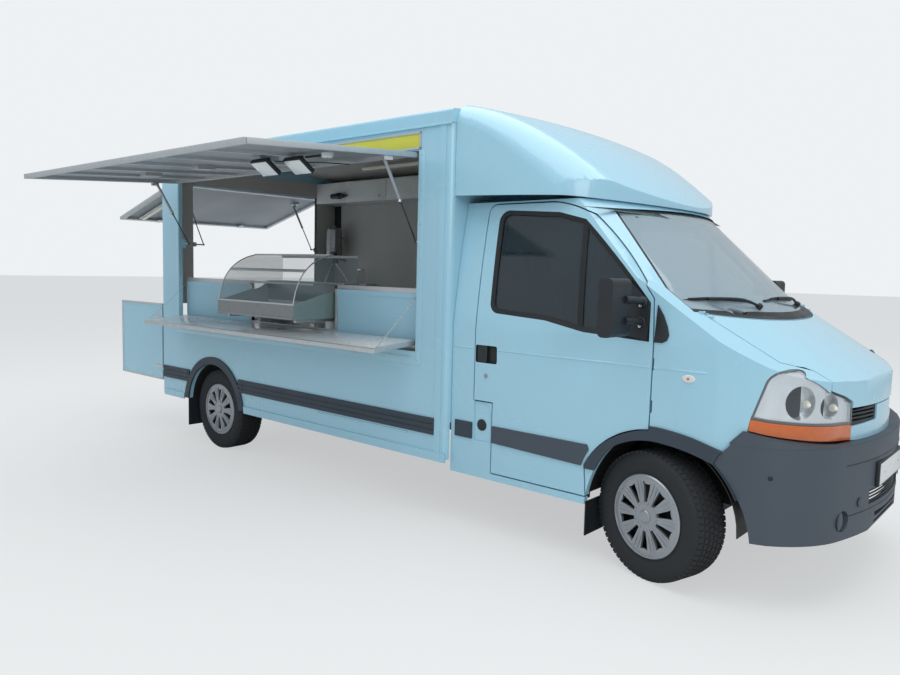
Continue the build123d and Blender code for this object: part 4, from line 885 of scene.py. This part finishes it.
for sign, side in sides:
    ribbon("bumper_rise_" + side, "grained_polypropylene", "chassis", bumperEdge(0.003, sign, 0.79),
           bumperEdge(0.006, sign), 0.005)
ledge = [bumperEdge(inset, 1) + [(0.886 - inset, 0.0, 0.797)] + list(reversed(bumperEdge(inset, -1)))
         for inset in (0.005, 0.065)]
ribbon("bumper_ledge", "grained_polypropylene", "chassis", ledge[0], ledge[1], 0.005)

# Arch liners: a bowed sheet over each wheel and, at the front, its inner wall
liners = {"front": (0.0, 0.428, 0.458, 0.952), "rear": (-4.078, 0.408, 0.71, 0.993)}
for end, (x, radius, y0, y1) in liners.items():
    for sign, side in sides:
        low = 4
        arc = [(x - radius * math.cos(math.radians(a)), 0.345 + radius * math.sin(math.radians(a)))
               for a in range(low, 181 - low, 6)]
        if end == "front":
            arc.append((x + radius, 0.338))
        ribbon("arch_liner_%s_%s" % (end, side), "chassis_black", "chassis", [(u, sign * y0, v) for u, v in arc],
               [(u, sign * y1, v) for u, v in arc], 0.004, 50)
        wallY = sign * (0.4565 if end == "front" else 0.699)
        if end == "front":
            cutSheet("arch_wall_" + side, "chassis_black", "chassis", [(u, wallY, v) for u, v in arc], 0.003)
print("bumper and liners made")

# Serving hatch: raised surround, header band in its rail, drip rail and screws
hatch = {"outer": (-4.69, -1.62, 0.985, 2.362), "wide": 0.05, "proud": 0.004,
         "band": (-4.6, -1.668, 2.376, 2.464), "screwStep": 0.2}
x0, x1, z0, z1 = hatch["outer"]
wide = hatch["wide"]
outerRow = [(x0, -1.0315, z0), (x1, -1.0315, z0), (x1, -1.0315, z1), (x0, -1.0315, z1)]
innerRow = [(x0 + wide, -1.0315, z0 + wide), (x1 - wide, -1.0315, z0 + wide), (x1 - wide, -1.0315, z1 - 0.004),
            (x0 + wide, -1.0315, z1 - 0.004)]
frameRing("hatch_surround", "aqua_enamel", "chassis", outerRow, innerRow, hatch["proud"], 0.001)
x0, x1, z0, z1 = hatch["band"]
bar("header_band", "yellow_band", "chassis", (x1 - x0, 0.003, z1 - z0), ((x0 + x1) / 2, -1.0312, (z0 + z1) / 2),
    bevel=0.0005)
rails = [bar("header_rail", "anodised_aluminium", "chassis", (x1 - x0 + 0.03, 0.009, 0.013),
             ((x0 + x1) / 2, -1.034, z), bevel=0.0015) for z in (z0 - 0.005, z1 + 0.005)]
rails += [bar("header_end", "anodised_aluminium", "chassis", (0.012, 0.009, z1 - z0 + 0.02),
              (x, -1.034, (z0 + z1) / 2), bevel=0.0015) for x in (x0 - 0.009, x1 + 0.009)]
joined("header_rails", rails)
for sign, side in sides:
    bar("drip_rail_" + side, "aqua_enamel", "chassis", (3.53, 0.01, 0.016), (-3.158, sign * 1.0385, 2.503),
        bevel=0.003)
    bar("sill_seam_" + side, "aqua_enamel", "chassis", (0.93, 0.008, 0.01) if sign > 0 else (0.93, 0.008, 0.01),
        (-2.2, sign * 1.032, 0.53), bevel=0.002)
screw = turnedPiece("screw", "anodised_aluminium", "chassis",
                    ((0, 0.006), (0.0015, 0.0058), (0.003, 0.003), (0.0033, 0)), (-4.665, -1.0335, 1.01),
                    axis="-y", sides=12)
places = [(-4.665 + 0.301 * step, -1.0335, 1.01) for step in range(11)]
places += [(x, -1.0335, 1.01 + 0.22 * step) for x in (-4.665, -1.645) for step in range(1, 7)]
repeated("hatch_screws", screw, places)

# Serving flap: edge rails, two spot lamps, a round lamp, strut caps and latches, all drawn closed
flap = {"x0": -4.629, "x1": -1.681, "z0": 1.076, "z1": 2.348, "under": -0.9995}
mid = (flap["x0"] + flap["x1"]) / 2
length = flap["x1"] - flap["x0"]
flapPieces = [
    bar("flap_nose", "anodised_aluminium", "serving_flap", (length, 0.038, 0.014), (mid, -1.0145, flap["z0"] + 0.004),
        bevel=0.005, segments=3),
]
for index, x in enumerate((flap["x0"] + 0.004, flap["x1"] - 0.004)):
    flapPieces.append(bar("flap_end_%d" % index, "anodised_aluminium", "serving_flap", (0.009, 0.034, 1.26),
                          (x, -1.0145, (flap["z0"] + flap["z1"]) / 2), bevel=0.002))
for index, (x, z) in enumerate(((-2.33, 1.653), (-2.113, 1.742))):
    flapPieces.append(bar("spot_body_%d" % index, "black_polypropylene", "serving_flap", (0.17, 0.03, 0.13),
                          (x, -0.95, z), turn=(-40, 0, 0), bevel=0.006, segments=3))
    flapPieces.append(bar("spot_glass_%d" % index, "spot_glass", "serving_flap", (0.155, 0.004, 0.115),
                          (x, -0.938, z - 0.01), turn=(-40, 0, 0), bevel=0.0015))
    flapPieces.append(bar("spot_foot_%d" % index, "black_polypropylene", "serving_flap", (0.03, 0.05, 0.02),
                          (x, -0.985, z + 0.02), bevel=0.003))
flapPieces.append(bar("spot_bracket", "black_polypropylene", "serving_flap", (0.2, 0.012, 0.03), (-1.95, -0.995, 1.755),
                      bevel=0.004))
flapPieces.append(turnedPiece("round_lamp", "white_powder", "serving_flap",
                              ((0, 0.036), (0.02, 0.036), (0.028, 0.03), (0.028, 0.024), (0.022, 0.022), (0.022, 0.0)),
                              (-1.853, -1.005, 1.755), axis="y"))
flapPieces.append(turnedPiece("round_lamp_glass", "window_rubber", "serving_flap",
                              ((0, 0.012), (0.004, 0.01), (0.006, 0.0)), (-1.853, -0.983, 1.755), axis="y"))
for index, x in enumerate((-4.602, -1.707)):
    flapPieces.append(bar("strut_cap_%d" % index, "white_powder", "serving_flap", (0.012, 0.034, 0.07),
                          (x, -0.99, 2.116), bevel=0.003))
for index, x in enumerate((-4.3, -2.0)):
    flapPieces.append(bar("flap_latch_%d" % index, "anodised_aluminium", "serving_flap", (0.06, 0.006, 0.03),
                          (x, -0.9985, 1.093), bevel=0.002))
for piece in flapPieces:
    swung(piece, flapTurn)
tube("flap_lamp_lead", "window_rubber", "serving_flap",
     [tuple(flapTurn @ Vector(p)) for p in ((-2.33, -0.99, 1.72), (-2.36, -0.996, 1.85), (-2.3, -1.0, 2.1),
                                            (-2.28, -0.996, 2.3))], 0.0035)
for index, x in enumerate((-4.567, -1.743)):
    turnedPiece("strut_collar_%d" % index, "hard_chrome", "flap_strut_tubes", ((0, 0.0135), (0.016, 0.0135), (0.018, 0.011), (0.018, 0)),
                (x, -1.1245, 2.0406), turn=(149.4, 0, 0), sides=24)
print("serving hatch and flap made")

# Counter: white top, rolled edges, end caps and braces, all drawn level
counter = {"x0": -4.609, "x1": -1.697, "y0": -1.379, "y1": -0.987, "top": 1.143}
mid = (counter["x0"] + counter["x1"]) / 2
length = counter["x1"] - counter["x0"]
counterPieces = [
    bar("counter_top", "white_laminate", "counter", (length - 0.036, 0.36, 0.0016), (mid, -1.185, 1.1434), bevel=0.0004),
    bar("counter_nose", "anodised_aluminium", "counter", (length + 0.002, 0.02, 0.033), (mid, -1.3705, 1.128),
        bevel=0.005, segments=3),
]
for index, x in enumerate((counter["x0"] + 0.006, counter["x1"] - 0.006)):
    counterPieces.append(bar("counter_end_%d" % index, "anodised_aluminium", "counter", (0.016, 0.388, 0.032),
                             (x, -1.183, 1.128), bevel=0.003))
for index, x in enumerate((-4.2, -3.153, -2.1)):
    counterPieces.append(bar("counter_brace_%d" % index, "anodised_aluminium", "counter", (0.03, 0.33, 0.012),
                             (x, -1.18, 1.118), bevel=0.003))
for piece in counterPieces:
    swung(piece, counterTurn)

# Infill panels: aluminium top rails and posts, with a seam along the sill
rails = {"z": 1.463, "height": 0.034, "deep": 0.03, "y": -0.9435}
for index, (x0, x1) in enumerate(((-4.634, -3.615), (-2.565, -1.676))):
    bar("infill_rail_%d" % index, "anodised_aluminium", "chassis", (x1 - x0, rails["deep"], rails["height"]),
        ((x0 + x1) / 2, rails["y"], rails["z"]), bevel=0.003)
for index, x in enumerate((-3.629, -2.551)):
    bar("infill_post_%d" % index, "anodised_aluminium", "chassis", (0.028, 0.03, 0.33), (x, rails["y"], 1.314), bevel=0.003)
bar("infill_foot", "anodised_aluminium", "chassis", (2.95, 0.006, 0.03), (-3.155, -0.9585, 1.09), bevel=0.0015)

# Cable at the rear end of the counter and chain at its front end
stays = {"cable": ((-4.62, -0.961, 1.44), (-4.6, -1.353, 1.106)), "chain": ((-1.69, -0.961, 1.468), (-1.705, -1.353, 1.106))}
start, end = (Vector(p) for p in stays["cable"])
middle = [start.lerp(end, t) + Vector((0, 0, -0.012 * math.sin(math.pi * t))) for t in (0.25, 0.5, 0.75)]
cable = tube("counter_cable", "hard_chrome", None, [tuple(p) for p in [start] + middle + [end]], 0.002)
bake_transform(cable)
start, end = (Vector(p) for p in stays["chain"])
linkCount = 30
chainLinks = []
for index in range(linkCount):
    t = (index + 0.5) / linkCount
    bpy.ops.object.select_all(action="DESELECT")
    bpy.ops.mesh.primitive_torus_add(major_radius=0.0065, minor_radius=0.0016, major_segments=12, minor_segments=6)
    link = bpy.context.object
    link.scale = (1.6, 1, 1)
    bpy.ops.object.transform_apply(location=False, rotation=False, scale=True)
    along = (end - start).to_track_quat("X", "Z").to_matrix().to_4x4()
    link.data.transform(Matrix.Translation(start.lerp(end, t)) @ along @ Matrix.Rotation(math.pi / 2 * (index % 2), 4, "X"))
    chainLinks.append(complete(link, "chain_link", "hard_chrome", None, 60))
chain = joined("counter_chain", chainLinks)
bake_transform(chain)
print("counter made")

# Display case: rails, glass edges, strip, scale shelf edge, screws, tray, dishes, louvres and machine front
case = {"x0": -3.57, "x1": -2.61, "front": -1.3, "back": -0.68, "low": 1.224, "top": 1.692}
mid = (case["x0"] + case["x1"]) / 2
bar("case_rail_front", "anodised_aluminium", "display_case", (0.962, 0.012, 0.014), (mid, -1.2935, 1.334), bevel=0.003)
bar("case_rail_low", "brushed_steel", "display_case", (0.962, 0.006, 0.018), (mid, -1.3015, 1.236), bevel=0.002)
bar("case_top_strip", "anodised_aluminium", "display_case", (0.95, 0.03, 0.012), (mid, -0.95, 1.6935), bevel=0.003)
bar("case_back_rail", "anodised_aluminium", "display_case", (0.95, 0.014, 0.02), (mid, -0.688, 1.684), bevel=0.003)
bar("case_shelf_edge", "anodised_aluminium", "display_case", (0.93, 0.008, 0.014), (mid, -1.108, 1.476), bevel=0.002)
for index, x in enumerate((case["x0"] + 0.006, case["x1"] - 0.006)):
    for step, y in enumerate((-1.24, -1.0, -0.75)):
        turnedPiece("case_screw_%d_%d" % (index, step), "hard_chrome", "display_case",
                    ((0, 0.006), (0.002, 0.006), (0.003, 0.003), (0.003, 0)),
                    (x + (0.005 if index else -0.005), y, 1.3), axis="x" if index else "-x", sides=12)
bar("case_tray", "brushed_steel", "display_case", (0.9, 0.42, 0.006), (mid, -1.06, 1.262), bevel=0.002)
for index in range(3):
    bar("case_dish_%d" % index, "white_powder", "display_case", (0.26, 0.34, 0.03), (-3.4 + 0.31 * index, -1.07, 1.282),
        bevel=0.012, segments=3)
glassEdge = []
for step in range(13):
    t = step / 12
    lift = 0.092 * 4 * t * (1 - t)
    glassEdge.append((-0.95 - 0.344 * t - 0.726 * lift, 1.692 - 0.363 * t + 0.688 * lift))
for index, x in enumerate((-3.563, -2.617)):
    tube("case_glass_edge_%d" % index, "anodised_aluminium", "display_case", [(x, y, z) for y, z in glassEdge], 0.0045, bend=False)
y, z = glassEdge[6]
bar("case_strip", "anodised_aluminium", "display_case", (0.95, 0.022, 0.01), (mid, y - 0.001, z), turn=(45, 0, 0), bevel=0.002)
for index in range(5):
    bar("case_louvre_%d" % index, "brushed_steel", "display_case", (0.006, 0.09, 0.012), (-2.6085, -0.755, 1.354 + index * 0.022),
        turn=(0, 25, 0), bevel=0.002)
bar("case_machine_front", "brushed_steel", "display_case", (0.94, 0.006, 0.15), (mid, -0.833, 1.405), bevel=0.002)
print("display case made")

# Tyres: grooved tread with blocks and shoulder lugs, stepped side walls
tread = {"radius": 0.345, "blocks": 66, "width": 0.225,
         "rows": ((-0.052, 0.030, 0.0), (-0.0175, 0.027, 0.5), (0.0175, 0.027, 0.0), (0.052, 0.030, 0.5)),
         "shoulders": ((-0.0865, 0.027, 0.25), (0.0865, 0.027, 0.75))}
wall = [(-0.08, 0.205), (-0.094, 0.214), (-0.098, 0.222), (-0.106, 0.246), (-0.1075, 0.252), (-0.1085, 0.262),
        (-0.111, 0.29), (-0.1095, 0.306), (-0.106, 0.318), (-0.1, 0.329), (-0.09, 0.3375), (-0.07, 0.341)]
tyreRows = wall + [(-u, v) for u, v in reversed(wall)] + [wall[0]]
tyre = turnedPiece("tyre", "tyre_rubber", "wheel_front_left", tyreRows, (0, 0, 0), axis="y", sides=96, angle=30, ring=True)


def treadBlock(offset, size, angle, high):
    bpy.ops.object.select_all(action="DESELECT")
    bpy.ops.mesh.primitive_cube_add(size=1)
    block = bpy.context.object
    bpy.ops.object.mode_set(mode="EDIT")
    bpy.ops.mesh.select_all(action="DESELECT")
    bpy.ops.object.mode_set(mode="OBJECT")
    for vertex in block.data.vertices:
        vertex.select = vertex.co.z > 0
    bpy.ops.object.mode_set(mode="EDIT")
    bpy.ops.transform.resize(value=(0.86, 0.88, 1), center_override=(0, 0, 0.5))
    bpy.ops.object.mode_set(mode="OBJECT")
    tilt = Matrix.Rotation(-1.1 * offset / 0.09 * 0.16 if abs(offset) > 0.07 else 0.0, 4, "X")
    block.data.transform(Matrix.Diagonal((size[0], size[1], size[2], 1)))
    block.data.transform(Matrix.Rotation(angle, 4, "Y") @ Matrix.Translation((0, offset, high)) @ tilt)
    block.data.materials.append(finishes["tyre_rubber"])
    return block


blocks = []
for offset, width, phase in tread["rows"] + tread["shoulders"]:
    shoulder = abs(offset) > 0.07
    for step in range(tread["blocks"]):
        angle = 2 * math.pi * (step + phase) / tread["blocks"]
        size = (0.0275, width, 0.015)
        blocks.append(treadBlock(offset, size, angle, tread["radius"] - (0.0098 if shoulder else 0.0075)))
choose(tyre, *blocks)
bpy.ops.object.join()
tyre = bpy.context.object
print("tread blocks:", len(blocks))

# Wheel trims: middle boss left bare, a rolled rim edge, a valve, and the steel wheel seen through the slots
hub = {"boss": ((0.1, 0.034), (0.112, 0.034), (0.116, 0.03), (0.1165, 0.024), (0.115, 0.022), (0.115, 0.0)),
       "edge": ((0.098, 0.2205), (0.104, 0.2215), (0.109, 0.216), (0.109, 0.208), (0.106, 0.207), (0.098, 0.2205))}
boss = turnedPiece("wheel_boss", "silver_lacquer", "wheel_front_left", hub["boss"], (0, 0, 0), axis="y", sides=40)
edge = turnedPiece("wheel_edge", "silver_lacquer", "wheel_front_left", hub["edge"], (0, 0, 0), axis="y", sides=96, ring=True)
valve = tube("wheel_valve", "window_rubber", "wheel_front_left", [(0.02, 0.085, 0.183), (0.02, 0.11, 0.18)], 0.0045, bend=False)


def wheelPlace(x, y, steer):
    side = 1 if y > 0 else -1
    turn = Matrix.Translation((x, y, 0.345)) @ Matrix.Rotation(0 if side > 0 else math.pi, 4, "Z")
    if steer:
        pin = Matrix.Translation((0, side * 0.83, 0))
        turn = pin @ Matrix.Rotation(math.radians(-15.2), 4, "Z") @ pin.inverted() @ turn
    return turn


for end, x, track, steer in (("front", 0.0, 0.875, True), ("rear", -4.078, 0.865, False)):
    for sign, side in sides:
        place = wheelPlace(x, sign * track, steer)
        back = place.inverted()
        body = "wheel_%s_%s" % (end, side)
        newTyre = copied(tyre, "tyre_dressed_%s_%s" % (end, side), place, body)
        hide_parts("tyre_%s_%s" % (end, side))
        for piece in (boss, edge, valve):
            copied(piece, "%s_%s_%s" % (piece.name, end, side), place, body)
        paintFaces(skins["rim_%s_%s" % (end, side)], "wheel_steel", lambda c, n: (back @ c).y < 0.0835)
for piece in (tyre, boss, edge, valve):
    bpy.data.objects.remove(piece)
print("wheels made")

# Inside the box: locker doors, worktop edges, dispenser, stand, jar and the dark panel behind them
inside_ = {"lockerY": 0.733, "lockerZ": 2.39}
for index in range(5):
    bar("locker_door_%d" % index, "white_laminate", "chassis", (0.585, 0.012, 0.19), (-4.09 + index * 0.6, 0.73, 2.392),
        bevel=0.002)
    turnedPiece("locker_knob_%d" % index, "hard_chrome", "chassis", ((0, 0.006), (0.012, 0.006), (0.014, 0.011), (0.022, 0.01), (0.024, 0.0)),
                (-3.87 + index * 0.6, 0.724, 2.33), axis="-y", sides=20)
bar("locker_end", "white_laminate", "chassis", (0.462, 0.258, 0.212), (-4.656, 0.865, 2.3925), bevel=0.003)
drum = {"place": (-4.7, 0.83, 1.72), "body": ((0, 0.07), (0.006, 0.083), (0.05, 0.085), (0.054, 0.088), (0.078, 0.088),
        (0.082, 0.085), (0.29, 0.085), (0.31, 0.07), (0.318, 0.02), (0.335, 0.018), (0.338, 0.0))}
for index, place in enumerate((drum["place"], (-1.51, 0.52, 1.464))):
    turnedPiece("dispenser_%d" % index, "brushed_steel", "chassis", drum["body"], place, sides=44)
    turnedPiece("dispenser_tap_%d" % index, "black_polypropylene", "chassis", ((0, 0.012), (0.03, 0.014), (0.035, 0.018),
                (0.05, 0.018), (0.05, 0.0)), (place[0], place[1], place[2] - 0.045), sides=24)
bar("dispenser_bracket", "anodised_aluminium", "chassis", (0.07, 0.1, 0.02), (-4.7, 0.95, 1.93), bevel=0.003)
bar("corner_panel", "black_polypropylene", "chassis", (0.1, 0.012, 0.25), (-4.825, 0.988, 2.155), bevel=0.003)
turnedPiece("locker_motor", "black_polypropylene", "chassis",
            ((0, 0.012), (0.01, 0.026), (0.1, 0.028), (0.104, 0.032), (0.15, 0.032), (0.154, 0.022), (0.2, 0.02),
             (0.205, 0.009), (0.25, 0.008), (0.25, 0.0)), (-4.6, 0.702, 2.353), axis="x", sides=28)
bar("jar_shelf", "white_laminate", "chassis", (0.34, 0.15, 0.014), (-4.36, 0.918, 1.431), bevel=0.003)
for index, (x0, x1) in enumerate(((-4.575, -3.635), (-2.545, -1.45))):
    bar("worktop_%d" % index, "brushed_steel", "chassis", (x1 - x0, 0.735, 0.004), ((x0 + x1) / 2, -0.5625, 1.1518),
        bevel=0.001)
stand = {"head": (-4.0, 0.25, 1.66), "floor": 0.641, "spread": 0.3}
sx, sy, sz = stand["head"]
for index, (dx, dy) in enumerate(((-1.0, 0.2), (0.9, 0.3), (0.1, -0.9))):
    dx, dy = dx * stand["spread"], dy * stand["spread"]
    tube("stand_leg_%d" % index, "hard_chrome", "chassis",
         [(sx, sy, sz), (sx + dx * 0.8, sy + dy * 0.8, sz - 0.25), (sx + dx * 0.95, sy + dy * 0.95, sz - 0.6),
          (sx + dx, sy + dy, stand["floor"])], 0.007)
turnedPiece("stand_head", "black_polypropylene", "chassis",
            ((0, 0.02), (0.01, 0.034), (0.05, 0.034), (0.06, 0.02), (0.1, 0.018), (0.1, 0.0)), (sx, sy, sz - 0.02))
tube("stand_arm", "black_polypropylene", "chassis",
     [(sx - 0.17, sy, sz + 0.03), (sx, sy, sz + 0.045), (sx + 0.16, sy, sz + 0.01)], 0.013)
turnedPiece("jar", "clear_glass", "chassis", ((0, 0.042), (0.005, 0.048), (0.11, 0.048), (0.13, 0.038), (0.14, 0.038), (0.14, 0.0)),
            (-4.341, 0.9, 1.4385))
turnedPiece("jar_lid", "hard_chrome", "chassis", ((0, 0.041), (0.014, 0.041), (0.017, 0.036), (0.017, 0)), (-4.341, 0.9, 1.578))
for index, y in enumerate((-0.35, 0.35)):
    bar("ceiling_light_%d" % index, "bulb_glass", "chassis", (1.2, 0.07, 0.03), (-3.1, y, 2.537), bevel=0.01, segments=3)
bar("front_wall_rail", "anodised_aluminium", "chassis", (0.01, 1.86, 0.04), (-1.436, 0, 2.23), bevel=0.003)
print("box interior made")

# Rear end: flap light, edge and latches, door frame, hinge leaves and lamps
rear = {"flapLight": (-4.92, -0.702, 1.65), "lightLength": 0.62}
x, y, z = rear["flapLight"]
rearPieces = [
    bar("rear_flap_light", "bulb_glass", "rear_flap", (0.024, 0.034, rear["lightLength"]), (-4.918, y, z), bevel=0.009, segments=3),
    bar("rear_flap_lamp_base", "white_powder", "rear_flap", (0.012, 0.05, rear["lightLength"] + 0.06), (-4.936, y, z), bevel=0.003),
    bar("rear_flap_nose", "anodised_aluminium", "rear_flap", (0.03, 1.802, 0.016), (-4.947, 0, 1.252), bevel=0.004),
]
for index, sign in enumerate((-1, 1)):
    rearPieces.append(bar("rear_flap_edge_%d" % index, "anodised_aluminium", "rear_flap", (0.028, 0.01, 1.11),
                          (-4.945, sign * 0.899, 1.808), bevel=0.003))
    rearPieces.append(bar("rear_flap_latch_%d" % index, "hard_chrome", "rear_flap", (0.012, 0.05, 0.08),
                          (-4.927, sign * 0.5, 1.3), bevel=0.004))
for piece in rearPieces:
    swung(piece, rearTurn)
doorPieces = []
for index, (size, place) in enumerate((((0.034, 0.796, 0.016), (-4.949, -0.614, 0.515)), ((0.034, 0.796, 0.016), (-4.949, -0.614, 1.219)),
                                       ((0.034, 0.014, 0.71), (-4.949, -0.222, 0.867)))):
    doorPieces.append(bar("rear_door_edge_%d" % index, "anodised_aluminium", "rear_door", size, place, bevel=0.003))
for index, z in enumerate((0.634, 1.114)):
    doorPieces.append(bar("rear_hinge_leaf_%d" % index, "hard_chrome", "rear_door", (0.004, 0.11, 0.03), (-4.9645, -0.962, z), bevel=0.0015))
for piece in doorPieces:
    swung(piece, doorTurn)
for index, (y, z) in enumerate(((0.9, 0.62), (-0.9, 0.46))):
    bar("rear_lamp_band_%d" % index, "amber_lens", "chassis", (0.004, 0.08, 0.03), (-4.9395, y, z + 0.01), bevel=0.001)
# Rub strip runs between the long strips and the rear flares
for sign, side in sides:
    ends = []
    for x0, x1 in ((-4.546, -4.462), (-3.694, -3.61)):
        for z0, z1, proud in ((0.55, 0.657, 0.009), (0.55, 0.58, 0.013), (0.59, 0.616, 0.013), (0.626, 0.657, 0.013)):
            ends.append(bar("strip_end", "strip_polypropylene", "chassis", (x1 - x0, proud, z1 - z0),
                            ((x0 + x1) / 2, sign * (1.03 + proud / 2), (z0 + z1) / 2), bevel=0.001))
    joined("strip_ends_" + side, ends)
print("rear end made")

# Seats: foam under woven cloth, rounded and swollen by a short cloth run
seatFoam = {"voxel": 0.013, "pressure": 4.0, "frames": 12, "cap": 0.012, "fill": 0.85}
seatSkin = skins["seats"]
modify(seatSkin, "REMESH", mode="VOXEL", voxel_size=seatFoam["voxel"])
modify(seatSkin, "SMOOTH", factor=0.5, iterations=6)
restPlaces = [vertex.co.copy() for vertex in seatSkin.data.vertices]
choose(seatSkin)
cloth = seatSkin.modifiers.new("cloth", "CLOTH")
cloth.settings.quality = 4
cloth.settings.use_pressure = True
cloth.settings.uniform_pressure_force = seatFoam["pressure"]
cloth.settings.effector_weights.gravity = 0.0
for step in range(1, seatFoam["frames"] + 1):
    bpy.context.scene.frame_set(step)
bpy.ops.object.modifier_apply(modifier="cloth")
bpy.context.scene.frame_set(1)
for vertex, place in zip(seatSkin.data.vertices, restPlaces):
    moved = vertex.co - place
    if moved.length > seatFoam["cap"]:
        vertex.co = place + moved.normalized() * seatFoam["cap"]
modify(seatSkin, "SMOOTH", factor=0.5, iterations=3)
choose(seatSkin)
bpy.ops.object.shade_smooth()
print("seats made:", len(seatSkin.data.polygons))

# Cab inside: binnacle, vents, stack, lever
cab = {"binnacle": (-0.13, 0.42, 1.285), "vents": (-0.62, -0.12, 0.16, 0.7)}
bar("binnacle", "dashboard_plastic", "chassis", (0.16, 0.4, 0.1), cab["binnacle"], turn=(0, 12, 0), bevel=0.03, segments=4)
bar("dial_glass", "window_rubber", "chassis", (0.006, 0.3, 0.07), (-0.214, 0.42, 1.272), turn=(0, 12, 0), bevel=0.002)
for index, y in enumerate(cab["vents"]):
    bar("dash_vent_%d" % index, "black_polypropylene", "chassis", (0.02, 0.13, 0.06), (-0.215, y, 1.2), turn=(0, 4, 0), bevel=0.006, segments=3)
bar("centre_stack", "dashboard_plastic", "chassis", (0.1, 0.3, 0.3), (-0.2, 0.02, 1.05), turn=(0, -8, 0), bevel=0.02, segments=3)
bar("stack_panel", "black_polypropylene", "chassis", (0.01, 0.22, 0.12), (-0.256, 0.02, 1.1), turn=(0, -8, 0), bevel=0.003)
tube("gear_lever", "black_polypropylene", "chassis", [(-0.24, 0.02, 0.95), (-0.3, 0.02, 1.02), (-0.35, 0.02, 1.1)], 0.009)
turnedPiece("gear_knob", "black_polypropylene", "chassis", ((0, 0.01), (0.01, 0.022), (0.035, 0.026), (0.05, 0.018), (0.055, 0)),
            (-0.347, 0.02, 1.095))
for sign, side in sides:
    bar("sun_visor_" + side, "cab_trim", "chassis", (0.14, 0.46, 0.014), (-0.42, sign * 0.38, 1.95), turn=(0, 20, 0), bevel=0.006)
bar("inner_mirror", "black_polypropylene", "chassis", (0.03, 0.22, 0.06), (-0.22, 0, 1.86), bevel=0.012, segments=3)
